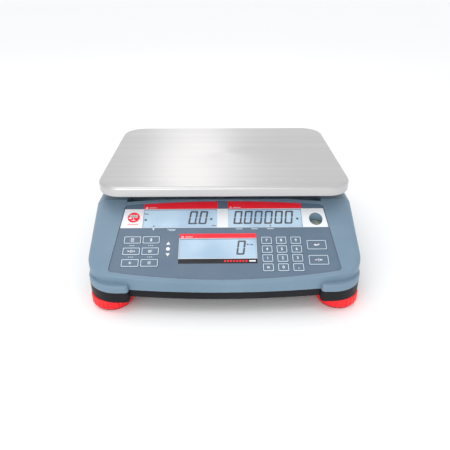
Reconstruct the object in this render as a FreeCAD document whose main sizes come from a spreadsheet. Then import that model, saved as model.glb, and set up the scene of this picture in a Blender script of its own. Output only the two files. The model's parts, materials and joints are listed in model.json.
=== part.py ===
import FreeCAD, Part
import math
import os
import re

import Sketcher

# Counting scale, in millimetres. X is the width, -Y the front with the sloping panel, +Z up.
# The origin is on the table, under the middle of the footprint.

Vector = FreeCAD.Vector
Rotation = FreeCAD.Rotation
Placement = FreeCAD.Placement

UP = Vector(0, 0, 1)
ALONG_X = Vector(1, 0, 0)
ALONG_Y = Vector(0, 1, 0)
HALF_TURN = 180

DIMENSIONS = {
    # whole scale
    "overall_width": 310, "overall_depth": 330, "overall_height": 118,
    # weighing pan and what carries it
    "pan_width": 300, "pan_depth": 225, "pan_rear_margin": 25.5, "pan_rim": 12, "pan_sheet": 0.8,
    "pan_corner": 30, "pan_edge": 3.2, "cushion_height": 4.2, "cushion_radius": 8,
    "cushion_across": 105, "cushion_along": 75, "arm_thickness": 9, "arm_width": 20,
    "arm_plate": 6, "hub_plate_width": 120, "hub_plate_depth": 70, "column_width": 40,
    "column_depth": 40, "column_wall": 6, "column_floor": 5,
    # load cell
    "cell_length": 130, "cell_width": 30, "cell_height": 22, "cell_hole": 9, "cell_slot": 6,
    "cell_hole_pitch": 32, "cell_end": 30, "spacer_lower": 6, "spacer_upper": 4,
    "bolt_radius": 3, "bolt_head": 5, "bolt_head_height": 5, "low_head_height": 2.4,
    "bolt_pitch": 16, "bolt_thread": 11, "stop_gap": 0.6, "stop_nut": 10, "stop_nut_height": 3.2,
    # shells
    "shell_wall": 2.5, "parting_height": 28.4, "floor_bottom": 19.5, "pod_bottom": 15.5,
    "corner_radius": 32, "front_arc": 900, "rear_setback": 4, "crease_height": 40.5,
    "panel_angle": 26.565, "deck_height": 91.6, "deck_drop": 9.6, "edge_radius": 9,
    "crease_radius": 2, "lobe_width": 49, "lobe_depth": 55, "lobe_corner": 36,
    "lobe_step": 4, "lobe_height": 36.5, "lobe_edge": 2.4, "dam_width": 3, "dam_height": 4,
    "column_clearance": 6,
    "deck_side_margin": 37, "deck_setback": 2.3, "deck_front_bow": 5.5, "deck_rear_margin": 33,
    "deck_corner": 10, "post_radius": 5, "post_side_inset": 15, "post_end_inset": 70,
    "screw_radius": 1.9, "screw_head": 3.8, "screw_head_height": 2.6, "screw_length": 18,
    # sloping panel, measured from a line across it, panel_inset behind the front
    "panel_inset": 55, "panel_wall": 2, "overlay_recess": 0.9, "overlay_thickness": 0.6,
    "overlay_gap": 0.25,
    "overlay_rear": 51.5, "overlay_rear_corner": 45.6, "overlay_rear_margin": 36,
    "overlay_front": 56.2, "overlay_front_corner": 45.2, "overlay_front_margin": 26,
    "overlay_corner": 4, "display_length": 87.5, "display_height": 26.2, "display_row": 25.8,
    "weight_across": -52.4, "unit_across": 48.2, "count_across": -8, "count_along": -15.9,
    "module_border": 3.2, "module_thickness": 4.5, "module_gap": 0.1, "glass_gap": 0.4,
    "window_gap": 0.15, "window_drop": 0.1, "window_thickness": 0.9,
    "level_across": 108.4, "level_along": 24.2, "level_radius": 7.6, "level_wall": 1.8,
    "level_depth": 13, "light_across": -64.5, "light_along": -16.3, "light_step": 7.7,
    "light_radius": 2,
    # keys
    "number_width": 12.1, "number_across": 48, "number_pitch": 16.8, "number_along": -5.8,
    "number_step": 11.75, "function_width": 19.6, "function_across": -105.8,
    "function_pitch": 21.4, "function_along": -4.2, "function_step": 15.1, "key_depth": 9.7,
    "large_width": 22.4, "large_depth": 12.5, "large_across": 105, "large_along": -12.1,
    "large_step": 19.8, "key_rise": 0.3, "key_gap": 0.3, "key_plate": 2.7, "key_stem": 2,
    "switch_size": 6, "switch_height": 2, "switch_gap": 0.5,
    # boards
    "board_thickness": 1.6, "panel_board_drop": 10, "panel_board_half": 122,
    "panel_board_reach": 46, "main_board_width": 120, "main_board_depth": 48,
    "main_board_offset": 81, "supply_width": 90, "supply_depth": 64, "supply_across": 60,
    "supply_offset": 67, "board_height": 7, "plate_width": 250, "plate_depth": 82,
    "plate_offset": 11, "plate_thickness": 3, "plate_height": 3, "stake_radius": 2,
    # battery
    "battery_length": 100, "battery_width": 70, "battery_height": 47, "battery_across": -63,
    "battery_offset": 70, "strap_width": 20, "strap_thickness": 1.2, "strap_foot": 10,
    # rear connectors
    "inlet_across": 85, "inlet_height": 46, "inlet_width": 27.6, "inlet_tall": 20,
    "inlet_depth": 17, "inlet_flange": 1.6, "inlet_mouth_width": 24.2, "inlet_mouth_tall": 16.6,
    "inlet_recess": 5, "inlet_lip": 1.5, "inlet_back": 2,
    "pin_across": 7, "pin_drop": 1.5, "pin_rise": 3, "pin_width": 2, "pin_height": 4,
    "pin_tail": 8, "port_across": 25, "port_width": 17, "port_tall": 8.6, "port_plate": 31,
    "port_plate_tall": 12.6, "port_reach": 5, "contact_pitch": 2.75,
    "contact_row": 1.4, "contact_radius": 0.6, "contact_depth": 5,
    # feet
    "foot_side_inset": 25.5, "foot_end_inset": 27, "foot_radius": 24, "foot_top": 14.9,
    "foot_gap": 0.3, "pad_radius": 21, "pad_thickness": 2, "pivot_radius": 5,
    "pivot_height": 4, "flute_count": 26, "flute_radius": 1.9, "stud_radius": 4,
    "stud_top": 40, "hex_width": 13, "hex_height": 5.3, "nut_height": 6.5, "tube_radius": 10,
    # clearances round fixings
    "fit": 0.05, "bolt_clearance": 0.3, "head_clearance": 0.4, "hex_clearance": 0.2,
    "stake_clearance": 0.1,
}

doc = FreeCAD.newDocument("counting_scale")
sizes = doc.addObject("Spreadsheet::Sheet", "sizes")
for row, (alias, number) in enumerate(DIMENSIONS.items(), start=1):
    sizes.set(f"A{row}", alias)
    sizes.set(f"B{row}", str(number))
    sizes.setAlias(f"B{row}", alias)
doc.recompute()

finished = []


def size(alias):
    return float(sizes.get(alias))


def bound(text):
    """The same sum with each word pointed at its cell in the sheet."""
    return re.sub(r"[a-z_]+", lambda word: "sizes." + word.group(0), text)


def bind(item, **sums):
    for name, text in sums.items():
        item.setExpression(name, bound(text))
    item.recompute()


def node(item):
    finished.append(item)
    return item


# ---------------------------------------------------------------- shapes from Part primitives

def box(label, length, width, height, centre, frame=None):
    """A box standing on the point centre, in the frame given."""
    item = doc.addObject("Part::Box", label)
    bind(item, Length=length, Width=width, Height=height)
    corner = centre - Vector(item.Length.Value / 2, item.Width.Value / 2, 0)
    local = Placement(corner, Rotation())
    item.Placement = frame.multiply(local) if frame else local
    return item


def cylinder(label, radius, height, start, axis=UP, frame=None):
    item = doc.addObject("Part::Cylinder", label)
    bind(item, Radius=radius, Height=height)
    local = Placement(start, Rotation(UP, axis))
    item.Placement = frame.multiply(local) if frame else local
    return item


def hexagon(label, width, height, start):
    item = doc.addObject("Part::Prism", label)
    item.Polygon = 6
    bind(item, Circumradius=f"({width}) / 2 * 1.1547", Height=height)
    item.Placement = Placement(start, Rotation())
    return item


def cut(label, base, tool):
    item = doc.addObject("Part::Cut", label)
    item.Base = base
    item.Tool = tool
    item.recompute()
    return item


def common(label, base, tool):
    item = doc.addObject("Part::Common", label)
    item.Base = base
    item.Tool = tool
    item.recompute()
    return item


def fuse(label, pieces):
    item = doc.addObject("Part::MultiFuse", label)
    item.Shapes = pieces
    item.recompute()
    return item


def group(label, pieces):
    """Separate solids kept in one object."""
    item = doc.addObject("Part::Compound", label)
    item.Links = pieces
    item.recompute()
    return item


def edge_numbers(shape, test):
    chosen = []
    for number, edge in enumerate(shape.Edges, start=1):
        first, last = edge.ParameterRange
        points = [edge.valueAt(first + (last - first) * step / 4) for step in range(5)]
        if test(points):
            chosen.append(number)
    return chosen


def round_edges(label, base, radii):
    """Part fillet; radii holds (edge number, start radius, end radius)."""
    item = doc.addObject("Part::Fillet", label)
    item.Base = base
    item.Edges = radii
    item.recompute()
    return item


# ---------------------------------------------------------------- shapes from sketches

def body(label):
    return doc.addObject("PartDesign::Body", label)


def sketch_on(owner, role, label):
    plane = next(item for item in owner.Origin.OriginFeatures if item.Role == role)
    sketch = owner.newObject("Sketcher::SketchObject", label)
    sketch.AttachmentSupport = [(plane, "")]
    sketch.MapMode = "FlatFace"
    return sketch


def rectangle(sketch, width, depth):
    """A rectangle about the sketch's origin with both sides bound to the sheet."""
    corners = [Vector(-1, -1, 0), Vector(1, -1, 0), Vector(1, 1, 0), Vector(-1, 1, 0)]
    for index in range(4):
        sketch.addGeometry(Part.LineSegment(corners[index], corners[(index + 1) % 4]), False)
    for index in range(4):
        sketch.addConstraint(Sketcher.Constraint("Coincident", index, 2, (index + 1) % 4, 1))
    for index in (0, 2):
        sketch.addConstraint(Sketcher.Constraint("Horizontal", index))
    for index in (1, 3):
        sketch.addConstraint(Sketcher.Constraint("Vertical", index))
    sketch.addConstraint(Sketcher.Constraint("Symmetric", 0, 1, 2, 1, -1, 1))
    across = sketch.addConstraint(Sketcher.Constraint("DistanceX", 0, 1, 0, 2, 2))
    sketch.setExpression(f"Constraints[{across}]", bound(width))
    along = sketch.addConstraint(Sketcher.Constraint("DistanceY", 1, 1, 1, 2, 2))
    sketch.setExpression(f"Constraints[{along}]", bound(depth))


def outline(sketch, pieces):
    """Lines (two points) and arcs (three points) in order, held where they are."""
    for points in pieces:
        curve = Part.LineSegment(*points) if len(points) == 2 else Part.Arc(*points)
        number = sketch.addGeometry(curve, False)
        sketch.addConstraint(Sketcher.Constraint("Block", number))


def pad(owner, sketch, label, length):
    feature = owner.newObject("PartDesign::Pad", label)
    feature.Profile = sketch
    feature.setExpression("Length", bound(length))
    sketch.Visibility = False
    doc.recompute()
    return feature


def pocket_up(owner, sketch, label, length):
    """Cuts from the sketch towards its normal."""
    before = owner.Shape.Volume
    feature = owner.newObject("PartDesign::Pocket", label)
    feature.Profile = sketch
    feature.Reversed = True
    feature.setExpression("Length", bound(length))
    doc.recompute()
    if owner.Shape.Volume >= before:
        raise RuntimeError(label + " cut nothing")
    return feature


def fillet(owner, label, radius, test):
    numbers = edge_numbers(owner.Shape, test)
    base = owner.Tip
    feature = owner.newObject("PartDesign::Fillet", label)
    feature.Base = (base, [f"Edge{number}" for number in numbers])
    feature.setExpression("Radius", bound(radius))
    doc.recompute()
    return feature


def is_upright(points):
    return abs(points[0].z - points[4].z) > 0.5 and math.hypot(
        points[0].x - points[4].x, points[0].y - points[4].y) < 0.01


def at_height(level):
    return lambda points: all(abs(point.z - level) < 0.01 for point in points)


# ---------------------------------------------------------------- places worked out once

half_width = size("overall_width") / 2
half_depth = size("overall_depth") / 2
wall = size("shell_wall")
parting = size("parting_height")
slope = math.tan(math.radians(size("panel_angle")))
panel_tilt = Rotation(ALONG_X, size("panel_angle"))
pan_centre = Vector(0, half_depth - size("pan_rear_margin") - size("pan_depth") / 2, 0)
foot_across = half_width - size("foot_side_inset")
foot_along = half_depth - size("foot_end_inset")
rear_wall = half_depth - size("rear_setback")
floor_top = size("floor_bottom") + wall
pod_top = size("pod_bottom") + wall
deck_floor = size("deck_height") - size("deck_drop")

plate_bottom = floor_top + size("plate_height")
plate_top = plate_bottom + size("plate_thickness")
cell_bottom = plate_top + size("spacer_lower")
cell_top = cell_bottom + size("cell_height")
column_bottom = cell_top + size("spacer_upper")
cell_end_across = (size("cell_length") - size("cell_end")) / 2
pan_underside = size("overall_height") - size("pan_sheet")
spider_top = pan_underside - size("cushion_height")
spider_bottom = spider_top - size("arm_thickness")
board_bottom = floor_top + size("board_height")
main_board_along = pan_centre.y - size("main_board_offset")
supply_along = pan_centre.y + size("supply_offset")


def frame_plane(along):
    """Height of the sloping frame surface at a place along Y."""
    return size("crease_height") + slope * (along + half_depth)


def roof(along):
    return min(size("deck_height"), frame_plane(along))


ridge = (size("deck_height") - size("crease_height")) / slope - half_depth
panel_line = size("panel_inset") - half_depth
panel_base = Vector(0, panel_line, frame_plane(panel_line)
                    - size("overlay_recess") / math.cos(math.radians(size("panel_angle"))))
panel_frame = Placement(panel_base, panel_tilt)
panel_floor = -size("overlay_thickness")
panel_under = panel_floor - size("panel_wall")


def on_panel(across, along, above=0):
    return Vector(across, along, above)


# ---------------------------------------------------------------- plan outlines of both shells

def main_outline(inset):
    """Bowed front, round corners, straight sides and rear, all moved in by inset."""
    arc = size("front_arc") - inset
    radius = size("corner_radius") - inset
    side = half_width - inset
    back = rear_wall - inset
    bow_centre = size("front_arc") - half_depth
    across = side - radius
    along = bow_centre - math.sqrt((arc - radius) ** 2 - across ** 2)
    reach = math.atan2(along - bow_centre, across)
    touch = Vector(arc * math.cos(reach), bow_centre + arc * math.sin(reach), 0)
    middle = Vector(across + radius * math.cos(reach / 2), along + radius * math.sin(reach / 2), 0)
    quarter = radius * math.sqrt(0.5)
    far = back - radius

    def left(point):
        return Vector(-point.x, point.y, 0)

    right_start = Vector(side, along, 0)
    right_end = Vector(side, far, 0)
    rear_turn = Vector(across + quarter, far + quarter, 0)
    rear_start = Vector(across, back, 0)
    return [
        (left(touch), Vector(0, bow_centre - arc, 0), touch),
        (touch, middle, right_start),
        (right_start, right_end),
        (right_end, rear_turn, rear_start),
        (rear_start, left(rear_start)),
        (left(rear_start), left(rear_turn), left(right_end)),
        (left(right_end), left(right_start)),
        (left(right_start), left(middle), left(touch)),
    ]


def lobe_outline(inset, side_sign, end_sign):
    """The corner lobe over one foot, as a closed loop that turns with the signs."""
    side = half_width - inset
    front = half_depth - inset
    inner = half_width - size("lobe_width") + inset
    step = size("lobe_step")
    radius = size("lobe_corner") - inset
    back = half_depth - size("lobe_depth")
    bend = 1 - math.sqrt(0.5)

    def corner(across, along):
        return Vector(side_sign * across, end_sign * along, 0)

    return [
        (corner(inner, back), corner(inner, front - step)),
        (corner(inner, front - step), corner(inner + step * bend, front - step * bend),
         corner(inner + step, front)),
        (corner(inner + step, front), corner(side - radius, front)),
        (corner(side - radius, front), corner(side - radius * bend, front - radius * bend),
         corner(side, front - radius)),
        (corner(side, front - radius), corner(side, back)),
        (corner(side, back), corner(inner, back)),
    ]


CORNERS = [(-1, -1, "front_left"), (1, -1, "front_right"), (-1, 1, "rear_left"),
           (1, 1, "rear_right")]


def plan_slab(label, pieces, bottom, height):
    """An outline in plan, padded up from a height."""
    owner = body(label)
    sketch = sketch_on(owner, "XY_Plane", label + "_sketch")
    outline(sketch, pieces)
    pad(owner, sketch, label + "_pad", height)
    owner.Placement = Placement(Vector(0, 0, bottom), Rotation())
    return owner


def profile_slab(label, lower_by):
    """Side profile of the top shell: slope, then level deck, lowered by a thickness."""
    owner = body(label)
    sketch = sketch_on(owner, "YZ_Plane", label + "_sketch")
    margin = 20
    top = size("deck_height") - lower_by
    drop = lower_by / math.cos(math.radians(size("panel_angle")))
    start = -half_depth - margin
    start_height = frame_plane(start) - drop
    turn = (top + drop - size("crease_height")) / slope - half_depth
    low = start_height - margin
    points = [Vector(start, low, 0), Vector(start, start_height, 0), Vector(turn, top, 0),
              Vector(half_depth + margin, top, 0), Vector(half_depth + margin, low, 0)]
    outline(sketch, [(points[i], points[(i + 1) % 5]) for i in range(5)])
    pad(owner, sketch, label + "_pad", "overall_width + 2 * corner_radius")
    owner.Placement = Placement(Vector(-half_width - size("corner_radius"), 0, 0), Rotation())
    return owner


def lobes(label, inset, bottom, height):
    return [plan_slab(f"{label}_{place}", lobe_outline(inset, side, end), bottom, height)
            for side, end, place in CORNERS]


# ---------------------------------------------------------------- sloping panel

KEYS = []
for row, names in enumerate((("7", "8", "9"), ("4", "5", "6"), ("1", "2", "3"),
                             ("clear", "0", "point"))):
    for column, name in enumerate(names):
        KEYS.append(("key_" + name, "number_width", "key_depth",
                     size("number_across") + column * size("number_pitch"),
                     size("number_along") - row * size("number_step")))
for index in range(6):
    KEYS.append((f"key_function_{index + 1}", "function_width", "key_depth",
                 size("function_across") + index % 2 * size("function_pitch"),
                 size("function_along") - index // 2 * size("function_step")))
for index, name in enumerate(("enter", "tare")):
    KEYS.append(("key_" + name, "large_width", "large_depth", size("large_across"),
                 size("large_along") - index * size("large_step")))

DISPLAYS = [("lcd_weight", size("weight_across"), size("display_row")),
            ("lcd_unit_weight", size("unit_across"), size("display_row")),
            ("lcd_count", size("count_across"), size("count_along"))]

level_axis = panel_frame.multVec(on_panel(size("level_across"), size("level_along")))


def overlay_outline(gap):
    """Bowed front and rear edges and leaning sides, grown by gap; corners cut by short arcs."""
    rear_half = half_width - size("overlay_rear_margin")
    front_half = half_width - size("overlay_front_margin")
    rear = Vector(rear_half + gap, size("overlay_rear_corner") + gap, 0)
    front = Vector(front_half + gap, -size("overlay_front_corner") - gap, 0)
    rear_middle = Vector(0, size("overlay_rear") + gap, 0)
    front_middle = Vector(0, -size("overlay_front") - gap, 0)
    radius = size("overlay_corner")
    lean = (front - rear).normalize()
    rear_in = rear + Vector(-radius, radius * 0.1, 0)
    rear_down = rear + lean * radius
    front_up = front - lean * radius
    front_in = front + Vector(-radius, -radius * 0.17, 0)
    rear_bend = rear + (rear_in - rear) * 0.3 + (rear_down - rear) * 0.3
    front_bend = front + (front_in - front) * 0.3 + (front_up - front) * 0.3

    def left(point):
        return Vector(-point.x, point.y, 0)

    return [
        (left(rear_in), rear_middle, rear_in),
        (rear_in, rear_bend, rear_down),
        (rear_down, front_up),
        (front_up, front_bend, front_in),
        (front_in, front_middle, left(front_in)),
        (left(front_in), left(front_bend), left(front_up)),
        (left(front_up), left(rear_down)),
        (left(rear_down), left(rear_bend), left(rear_in)),
    ]


def panel_openings(label, low, height):
    """Blocks that clear the keys and windows, standing from a depth under the film's face."""
    tools = []
    for name, width, depth, across, along in KEYS:
        tools.append(box(f"{label}_{name}", width + " + 2 * key_gap", depth + " + 2 * key_gap",
                         height, on_panel(across, along, low), panel_frame))
    for name, across, along in DISPLAYS:
        tools.append(box(f"{label}_{name}", "display_length", "display_height", height,
                         on_panel(across, along, low), panel_frame))
    tools.append(cylinder(label + "_level", "level_radius", "overall_height / 2",
                          Vector(level_axis.x, level_axis.y, level_axis.z - size("level_depth"))))
    return group(label, tools)


def make_overlay():
    sheet = body("overlay_sheet")
    sketch = sketch_on(sheet, "XY_Plane", "overlay_sheet_sketch")
    outline(sketch, overlay_outline(0))
    pad(sheet, sketch, "overlay_sheet_pad", "overlay_thickness")
    sheet.Placement = panel_frame.multiply(Placement(Vector(0, 0, panel_floor), Rotation()))
    tools = panel_openings("overlay_openings", panel_floor - 1, "overlay_thickness + 2")
    node(cut("panel_overlay", sheet, tools))


def make_displays():
    windows = []
    window_low = -size("window_drop") - size("window_thickness")
    module_top = panel_under - size("module_gap")
    for name, across, along in DISPLAYS:
        windows.append(box("window_over_" + name, "display_length - 2 * window_gap",
                           "display_height - 2 * window_gap", "window_thickness",
                           on_panel(across, along, window_low), panel_frame))
        module = box(name + "_module", "display_length + 2 * module_border",
                     "display_height + 2 * module_border", "module_thickness",
                     on_panel(across, along, module_top - size("module_thickness")), panel_frame)
        glass = box(name + "_glass", "display_length - 2 * glass_gap",
                    "display_height - 2 * glass_gap",
                    "module_thickness + overlay_thickness + panel_wall - window_thickness"
                    " - window_drop",
                    on_panel(across, along, module_top - size("module_thickness")), panel_frame)
        node(fuse(name, [module, glass]))
    node(group("display_windows", windows))


def make_keys():
    top = size("key_rise")
    stem_end = switch_top() + size("switch_gap")
    for name, width, depth, across, along in KEYS:
        low = top - size("key_plate")
        plate = box(name + "_plate", width, depth, "key_plate",
                    on_panel(across, along, low), panel_frame)
        stem = doc.addObject("Part::Cylinder", name + "_stem")
        bind(stem, Radius="key_stem", Height="panel_board_drop - switch_height - switch_gap"
                                             " - key_plate + key_rise")
        stem.Placement = panel_frame.multiply(
            Placement(on_panel(across, along, stem_end), Rotation()))
        node(fuse(name, [plate, stem]))


def switch_top():
    return -size("panel_board_drop") + size("switch_height")


def make_display_board():
    top = -size("panel_board_drop")
    low = top - size("board_thickness")
    sheet = box("display_board_sheet", "2 * panel_board_half", "2 * panel_board_reach",
                "board_thickness", on_panel(0, 0, low), panel_frame)
    notch = box("display_board_notch", "4 * level_radius", "5 * level_radius",
                "board_thickness + 2",
                on_panel(size("level_across"), size("level_along") - size("level_radius"),
                         low - 1), panel_frame)
    pieces = [cut("display_board_notched", sheet, notch)]
    for name, _, _, across, along in KEYS:
        pieces.append(box("switch_under_" + name, "switch_size", "switch_size", "switch_height",
                          on_panel(across, along, top), panel_frame))
    header = box("display_board_header", "switch_size * 5", "switch_size", "switch_size",
                 on_panel(size("count_across"), size("count_along"), low - size("switch_size")),
                 panel_frame)
    node(fuse("display_board", pieces + [header]))


def make_lights():
    lights = []
    for index in (-1, 0, 1):
        along = size("light_along") + index * size("light_step")
        lights.append(cylinder(f"status_light_{index + 2}", "light_radius",
                               "panel_board_drop - overlay_thickness - window_drop",
                               on_panel(size("light_across"), along,
                                        -size("panel_board_drop")), UP, panel_frame))
    node(group("status_lights", lights))


def make_level():
    """Round level: a clear drum that stands upright in its well."""
    top = level_axis.z - slope * size("level_radius") - size("overlay_thickness") - 0.4
    height = top - (level_axis.z - size("level_depth"))
    base = Vector(level_axis.x, level_axis.y, level_axis.z - size("level_depth"))
    drum = doc.addObject("Part::Cylinder", "level_drum")
    bind(drum, Radius="level_radius - 2 * window_gap")
    drum.Height = height
    drum.Placement = Placement(base, Rotation())
    cap = cylinder("level_cap", "level_radius + level_wall", "level_wall",
                   base - UP * size("level_wall"))
    node(fuse("level_vial", [drum, cap]))


# ---------------------------------------------------------------- shells

def make_deck_block(label, grow, bottom):
    """Space over the sunken deck, or the block round it when grown by the wall."""
    half = half_width - size("deck_side_margin") + grow
    front = ridge + size("deck_setback") - grow
    rear = half_depth - size("deck_rear_margin") + grow
    turn = size("deck_corner") + grow
    bend = turn * (1 - math.sqrt(0.5))
    side_front = front - size("deck_front_bow")

    def left(point):
        return Vector(-point.x, point.y, 0)

    near = Vector(half, side_front, 0)
    far = Vector(half, rear - turn, 0)
    round_far = Vector(half - bend, rear - bend, 0)
    back = Vector(half - turn, rear, 0)
    pieces = [(left(near), Vector(0, front, 0), near), (near, far), (far, round_far, back),
              (back, left(back)), (left(back), left(round_far), left(far)),
              (left(far), left(near))]
    return plan_slab(label, pieces, bottom, "deck_height")


def post_places():
    across = half_width - size("post_side_inset")
    along = half_depth - size("post_end_inset")
    return [Vector(side * across, y, 0) for side in (-1, 1) for y in (-along, 0, along)]


def make_top_outside():
    plan = plan_slab("top_plan", main_outline(0), parting, "deck_height")
    blank = common("top_blank", plan, profile_slab("top_profile", 0))
    deck = size("deck_height")
    crease = size("crease_height")
    big = size("edge_radius")
    small = size("crease_radius")

    def upper(points):
        return min(point.z for point in points) > crease - 1

    def is_ridge(points):
        return abs(points[0].x + points[4].x) < 0.01 and abs(points[2].x) < 0.01 and (
            abs(points[2].z - deck) < 0.01 and points[2].y < 0)

    radii = []
    for number in edge_numbers(blank.Shape, upper):
        edge = blank.Shape.Edges[number - 1]
        first, last = edge.ParameterRange
        points = [edge.valueAt(first + (last - first) * step / 4) for step in range(5)]
        if is_ridge(points):
            continue
        at_front = points[2].y < -half_depth + size("corner_radius")
        if at_front and abs(points[2].x) < 1:
            radii.append((number, small, small))
        elif at_front:
            start = small if points[0].y < points[4].y else big
            radii.append((number, start, small + big - start))
        else:
            radii.append((number, big, big))
    rounded = round_edges("top_rounded", blank, radii)
    corners = lobes("top_lobe", 0, parting, "lobe_height - parting_height")
    shaped = []
    for lobe in corners:
        top_edges = edge_numbers(lobe.Shape, at_height(size("lobe_height")))
        edge = size("lobe_edge")
        shaped.append(round_edges(lobe.Label + "_rounded", lobe,
                                  [(number, edge, edge) for number in top_edges]))
    return fuse("top_outside", [rounded] + shaped)


def make_top_cavity():
    plan = plan_slab("cavity_plan", main_outline(wall), parting - 1, "deck_height")
    lower_by = size("overlay_recess") - panel_under
    hollow = common("cavity_blank", plan, profile_slab("cavity_profile", lower_by))
    inner = lobes("cavity_lobe", wall, parting - 1, "lobe_height - parting_height - shell_wall")
    block = make_deck_block("cavity_deck", wall, deck_floor - wall)
    return cut("top_cavity", fuse("cavity_joined", [hollow] + inner), block)


def make_recess():
    """The space over the film and its bed."""
    recess = body("overlay_recess_space")
    sketch = sketch_on(recess, "XY_Plane", "overlay_recess_sketch")
    outline(sketch, overlay_outline(size("overlay_gap")))
    pad(recess, sketch, "overlay_recess_pad", "level_depth")
    recess.Placement = panel_frame.multiply(Placement(Vector(0, 0, panel_floor), Rotation()))
    return recess


def make_top_housing():
    recess = make_recess()
    outside = cut("top_recessed", make_top_outside(), recess)
    shell = cut("top_shell", outside, make_top_cavity())
    shell = cut("top_decked", shell, make_deck_block("deck_space", 0, deck_floor))
    posts = [cylinder(f"top_post_{index}", "post_radius - bolt_clearance", "deck_height",
                      Vector(place.x, place.y, parting))
             for index, place in enumerate(post_places())]
    posts = common("top_posts", fuse("top_posts_joined", posts), outside)
    cell_side = Vector(cell_end_across, pan_centre.y, deck_floor - wall)
    dam = box("deck_dam", "column_width + 2 * (column_clearance + dam_width)",
              "column_depth + 2 * (column_clearance + dam_width)",
              "shell_wall + dam_height", cell_side)
    well = cylinder("level_well", "level_radius + level_wall", "level_depth + level_radius",
                    Vector(level_axis.x, level_axis.y, level_axis.z - size("level_depth")))
    standoffs = [cylinder(f"standoff_{index}", "1.5 * key_stem",
                          "panel_board_drop - overlay_thickness - panel_wall / 2",
                          on_panel(across, along, -size("panel_board_drop")), UP, panel_frame)
                 for index, (across, along) in enumerate(standoff_places())]
    well = cut("level_well_trimmed", well, recess)
    solid = fuse("top_posted", [shell, posts, dam])
    solid = fuse("top_stood", [solid] + standoffs)
    solid = fuse("top_solid", [solid, well])
    tools = [panel_openings("top_openings", panel_under - 0.5, "overlay_thickness + panel_wall + 1")]
    tools.append(box("column_hole", "column_width + 2 * column_clearance",
                     "column_depth + 2 * column_clearance", "overall_height / 2",
                     cell_side - UP * wall))
    for index, place in enumerate(post_places()):
        tools.append(cylinder(f"pilot_{index}", "screw_radius + fit", "screw_length",
                              Vector(place.x, place.y, parting - 1)))
    for index in (-1, 0, 1):
        along = size("light_along") + index * size("light_step")
        tools.append(cylinder(f"light_hole_{index + 2}", "light_radius + window_gap",
                              "overlay_thickness + panel_wall + 1",
                              on_panel(size("light_across"), along, panel_under - 0.5),
                              UP, panel_frame))
    tools += rear_cutouts()
    node(cut("top_housing", solid, fuse("top_tools", tools)))


def standoff_places():
    reach = size("panel_board_reach") - 1.5 * size("key_stem")
    rear = reach - 2 * size("key_stem")
    return [(-size("level_across"), size("display_row")), (size("level_across"), rear),
            (-size("large_across") + 10, -reach), (size("large_across"), -reach)]


def rear_cutouts():
    height = size("inlet_height")
    centre = Vector(size("inlet_across"), rear_wall - wall / 2, height - size("inlet_tall") / 2)
    inlet = box("inlet_cutout", "inlet_width + 2 * window_gap", "4 * shell_wall",
                "inlet_tall + window_gap", centre - UP * size("window_gap") / 2)
    centre = Vector(size("port_across"), rear_wall - wall / 2, height - size("port_tall") / 2)
    port = box("port_cutout", "port_width + 2 * window_gap", "4 * shell_wall",
               "port_tall + window_gap", centre - UP * size("window_gap") / 2)
    return [inlet, port]


def make_bottom_housing():
    tray = plan_slab("tray_plan", main_outline(0), size("floor_bottom"),
                     "parting_height - floor_bottom")
    pods = lobes("pod", 0, size("pod_bottom"), "parting_height - pod_bottom")
    outside = fuse("tray_outside", [tray] + pods)
    hollow = plan_slab("tray_hollow", main_outline(wall), floor_top, "parting_height")
    inner = lobes("pod_hollow", wall, pod_top, "parting_height")
    shell = cut("tray_shell", outside, fuse("tray_hollows", [hollow] + inner))
    solids = [shell]
    for index, place in enumerate(post_places()):
        solids.append(cylinder(f"tray_post_{index}", "post_radius",
                               "parting_height - floor_bottom",
                               Vector(place.x, place.y, size("floor_bottom"))))
    for side, end, place in CORNERS:
        start = Vector(side * foot_across, end * foot_along, size("pod_bottom"))
        solids.append(cylinder("nut_tube_" + place, "tube_radius",
                               "parting_height - pod_bottom - 1", start))
    for index, place in enumerate(stake_places()):
        solids.append(cylinder(f"stake_boss_{index}", "2 * stake_radius", "plate_height + 1",
                               Vector(place.x, place.y, floor_top - 1)))
        solids.append(cylinder(f"stake_{index}", "stake_radius",
                               "plate_height + plate_thickness + 2",
                               Vector(place.x, place.y, floor_top - 1)))
    for index, place in enumerate(board_post_places()):
        solids.append(cylinder(f"board_post_{index}", "1.5 * stake_radius", "board_height + 1",
                               Vector(place.x, place.y, floor_top - 1)))
    node(cut("bottom_housing", fuse("tray_solid", solids), fuse("tray_tools", tray_tools())))


def tray_tools():
    tools = []
    for index, place in enumerate(post_places()):
        start = Vector(place.x, place.y, size("floor_bottom") - 1)
        tools.append(cylinder(f"screw_hole_{index}", "screw_radius + bolt_clearance",
                              "parting_height", start))
        tools.append(cylinder(f"screw_sink_{index}", "screw_head + head_clearance",
                              "screw_head_height + 2", start))
    for side, end, place in CORNERS:
        axis = Vector(side * foot_across, end * foot_along, 0)
        tools.append(cylinder("stud_hole_" + place, "stud_radius + bolt_clearance", "parting_height",
                              axis + UP * (size("pod_bottom") - 1)))
        tools.append(hexagon("nut_pocket_" + place, "hex_width + hex_clearance", "parting_height",
                             axis + UP * pod_top))
    return tools


def stake_places():
    across = size("plate_width") / 2 - 3 * size("stake_radius")
    along = size("plate_depth") / 2 - 3 * size("stake_radius")
    centre = pan_centre.y - size("plate_offset")
    return [Vector(x, centre + y, 0) for x in (-across, across)
            for y in (-along, along)]


def board_post_places():
    places = []
    for width, depth, across, along in (
            ("main_board_width", "main_board_depth", 0, main_board_along),
            ("supply_width", "supply_depth", size("supply_across"), supply_along)):
        half_x = size(width) / 2 - 2 * size("stake_radius")
        half_y = size(depth) / 2 - 2 * size("stake_radius")
        places += [Vector(across + x, along + y, 0) for x in (-half_x, half_x)
                   for y in (-half_y, half_y)]
    return places


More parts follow.
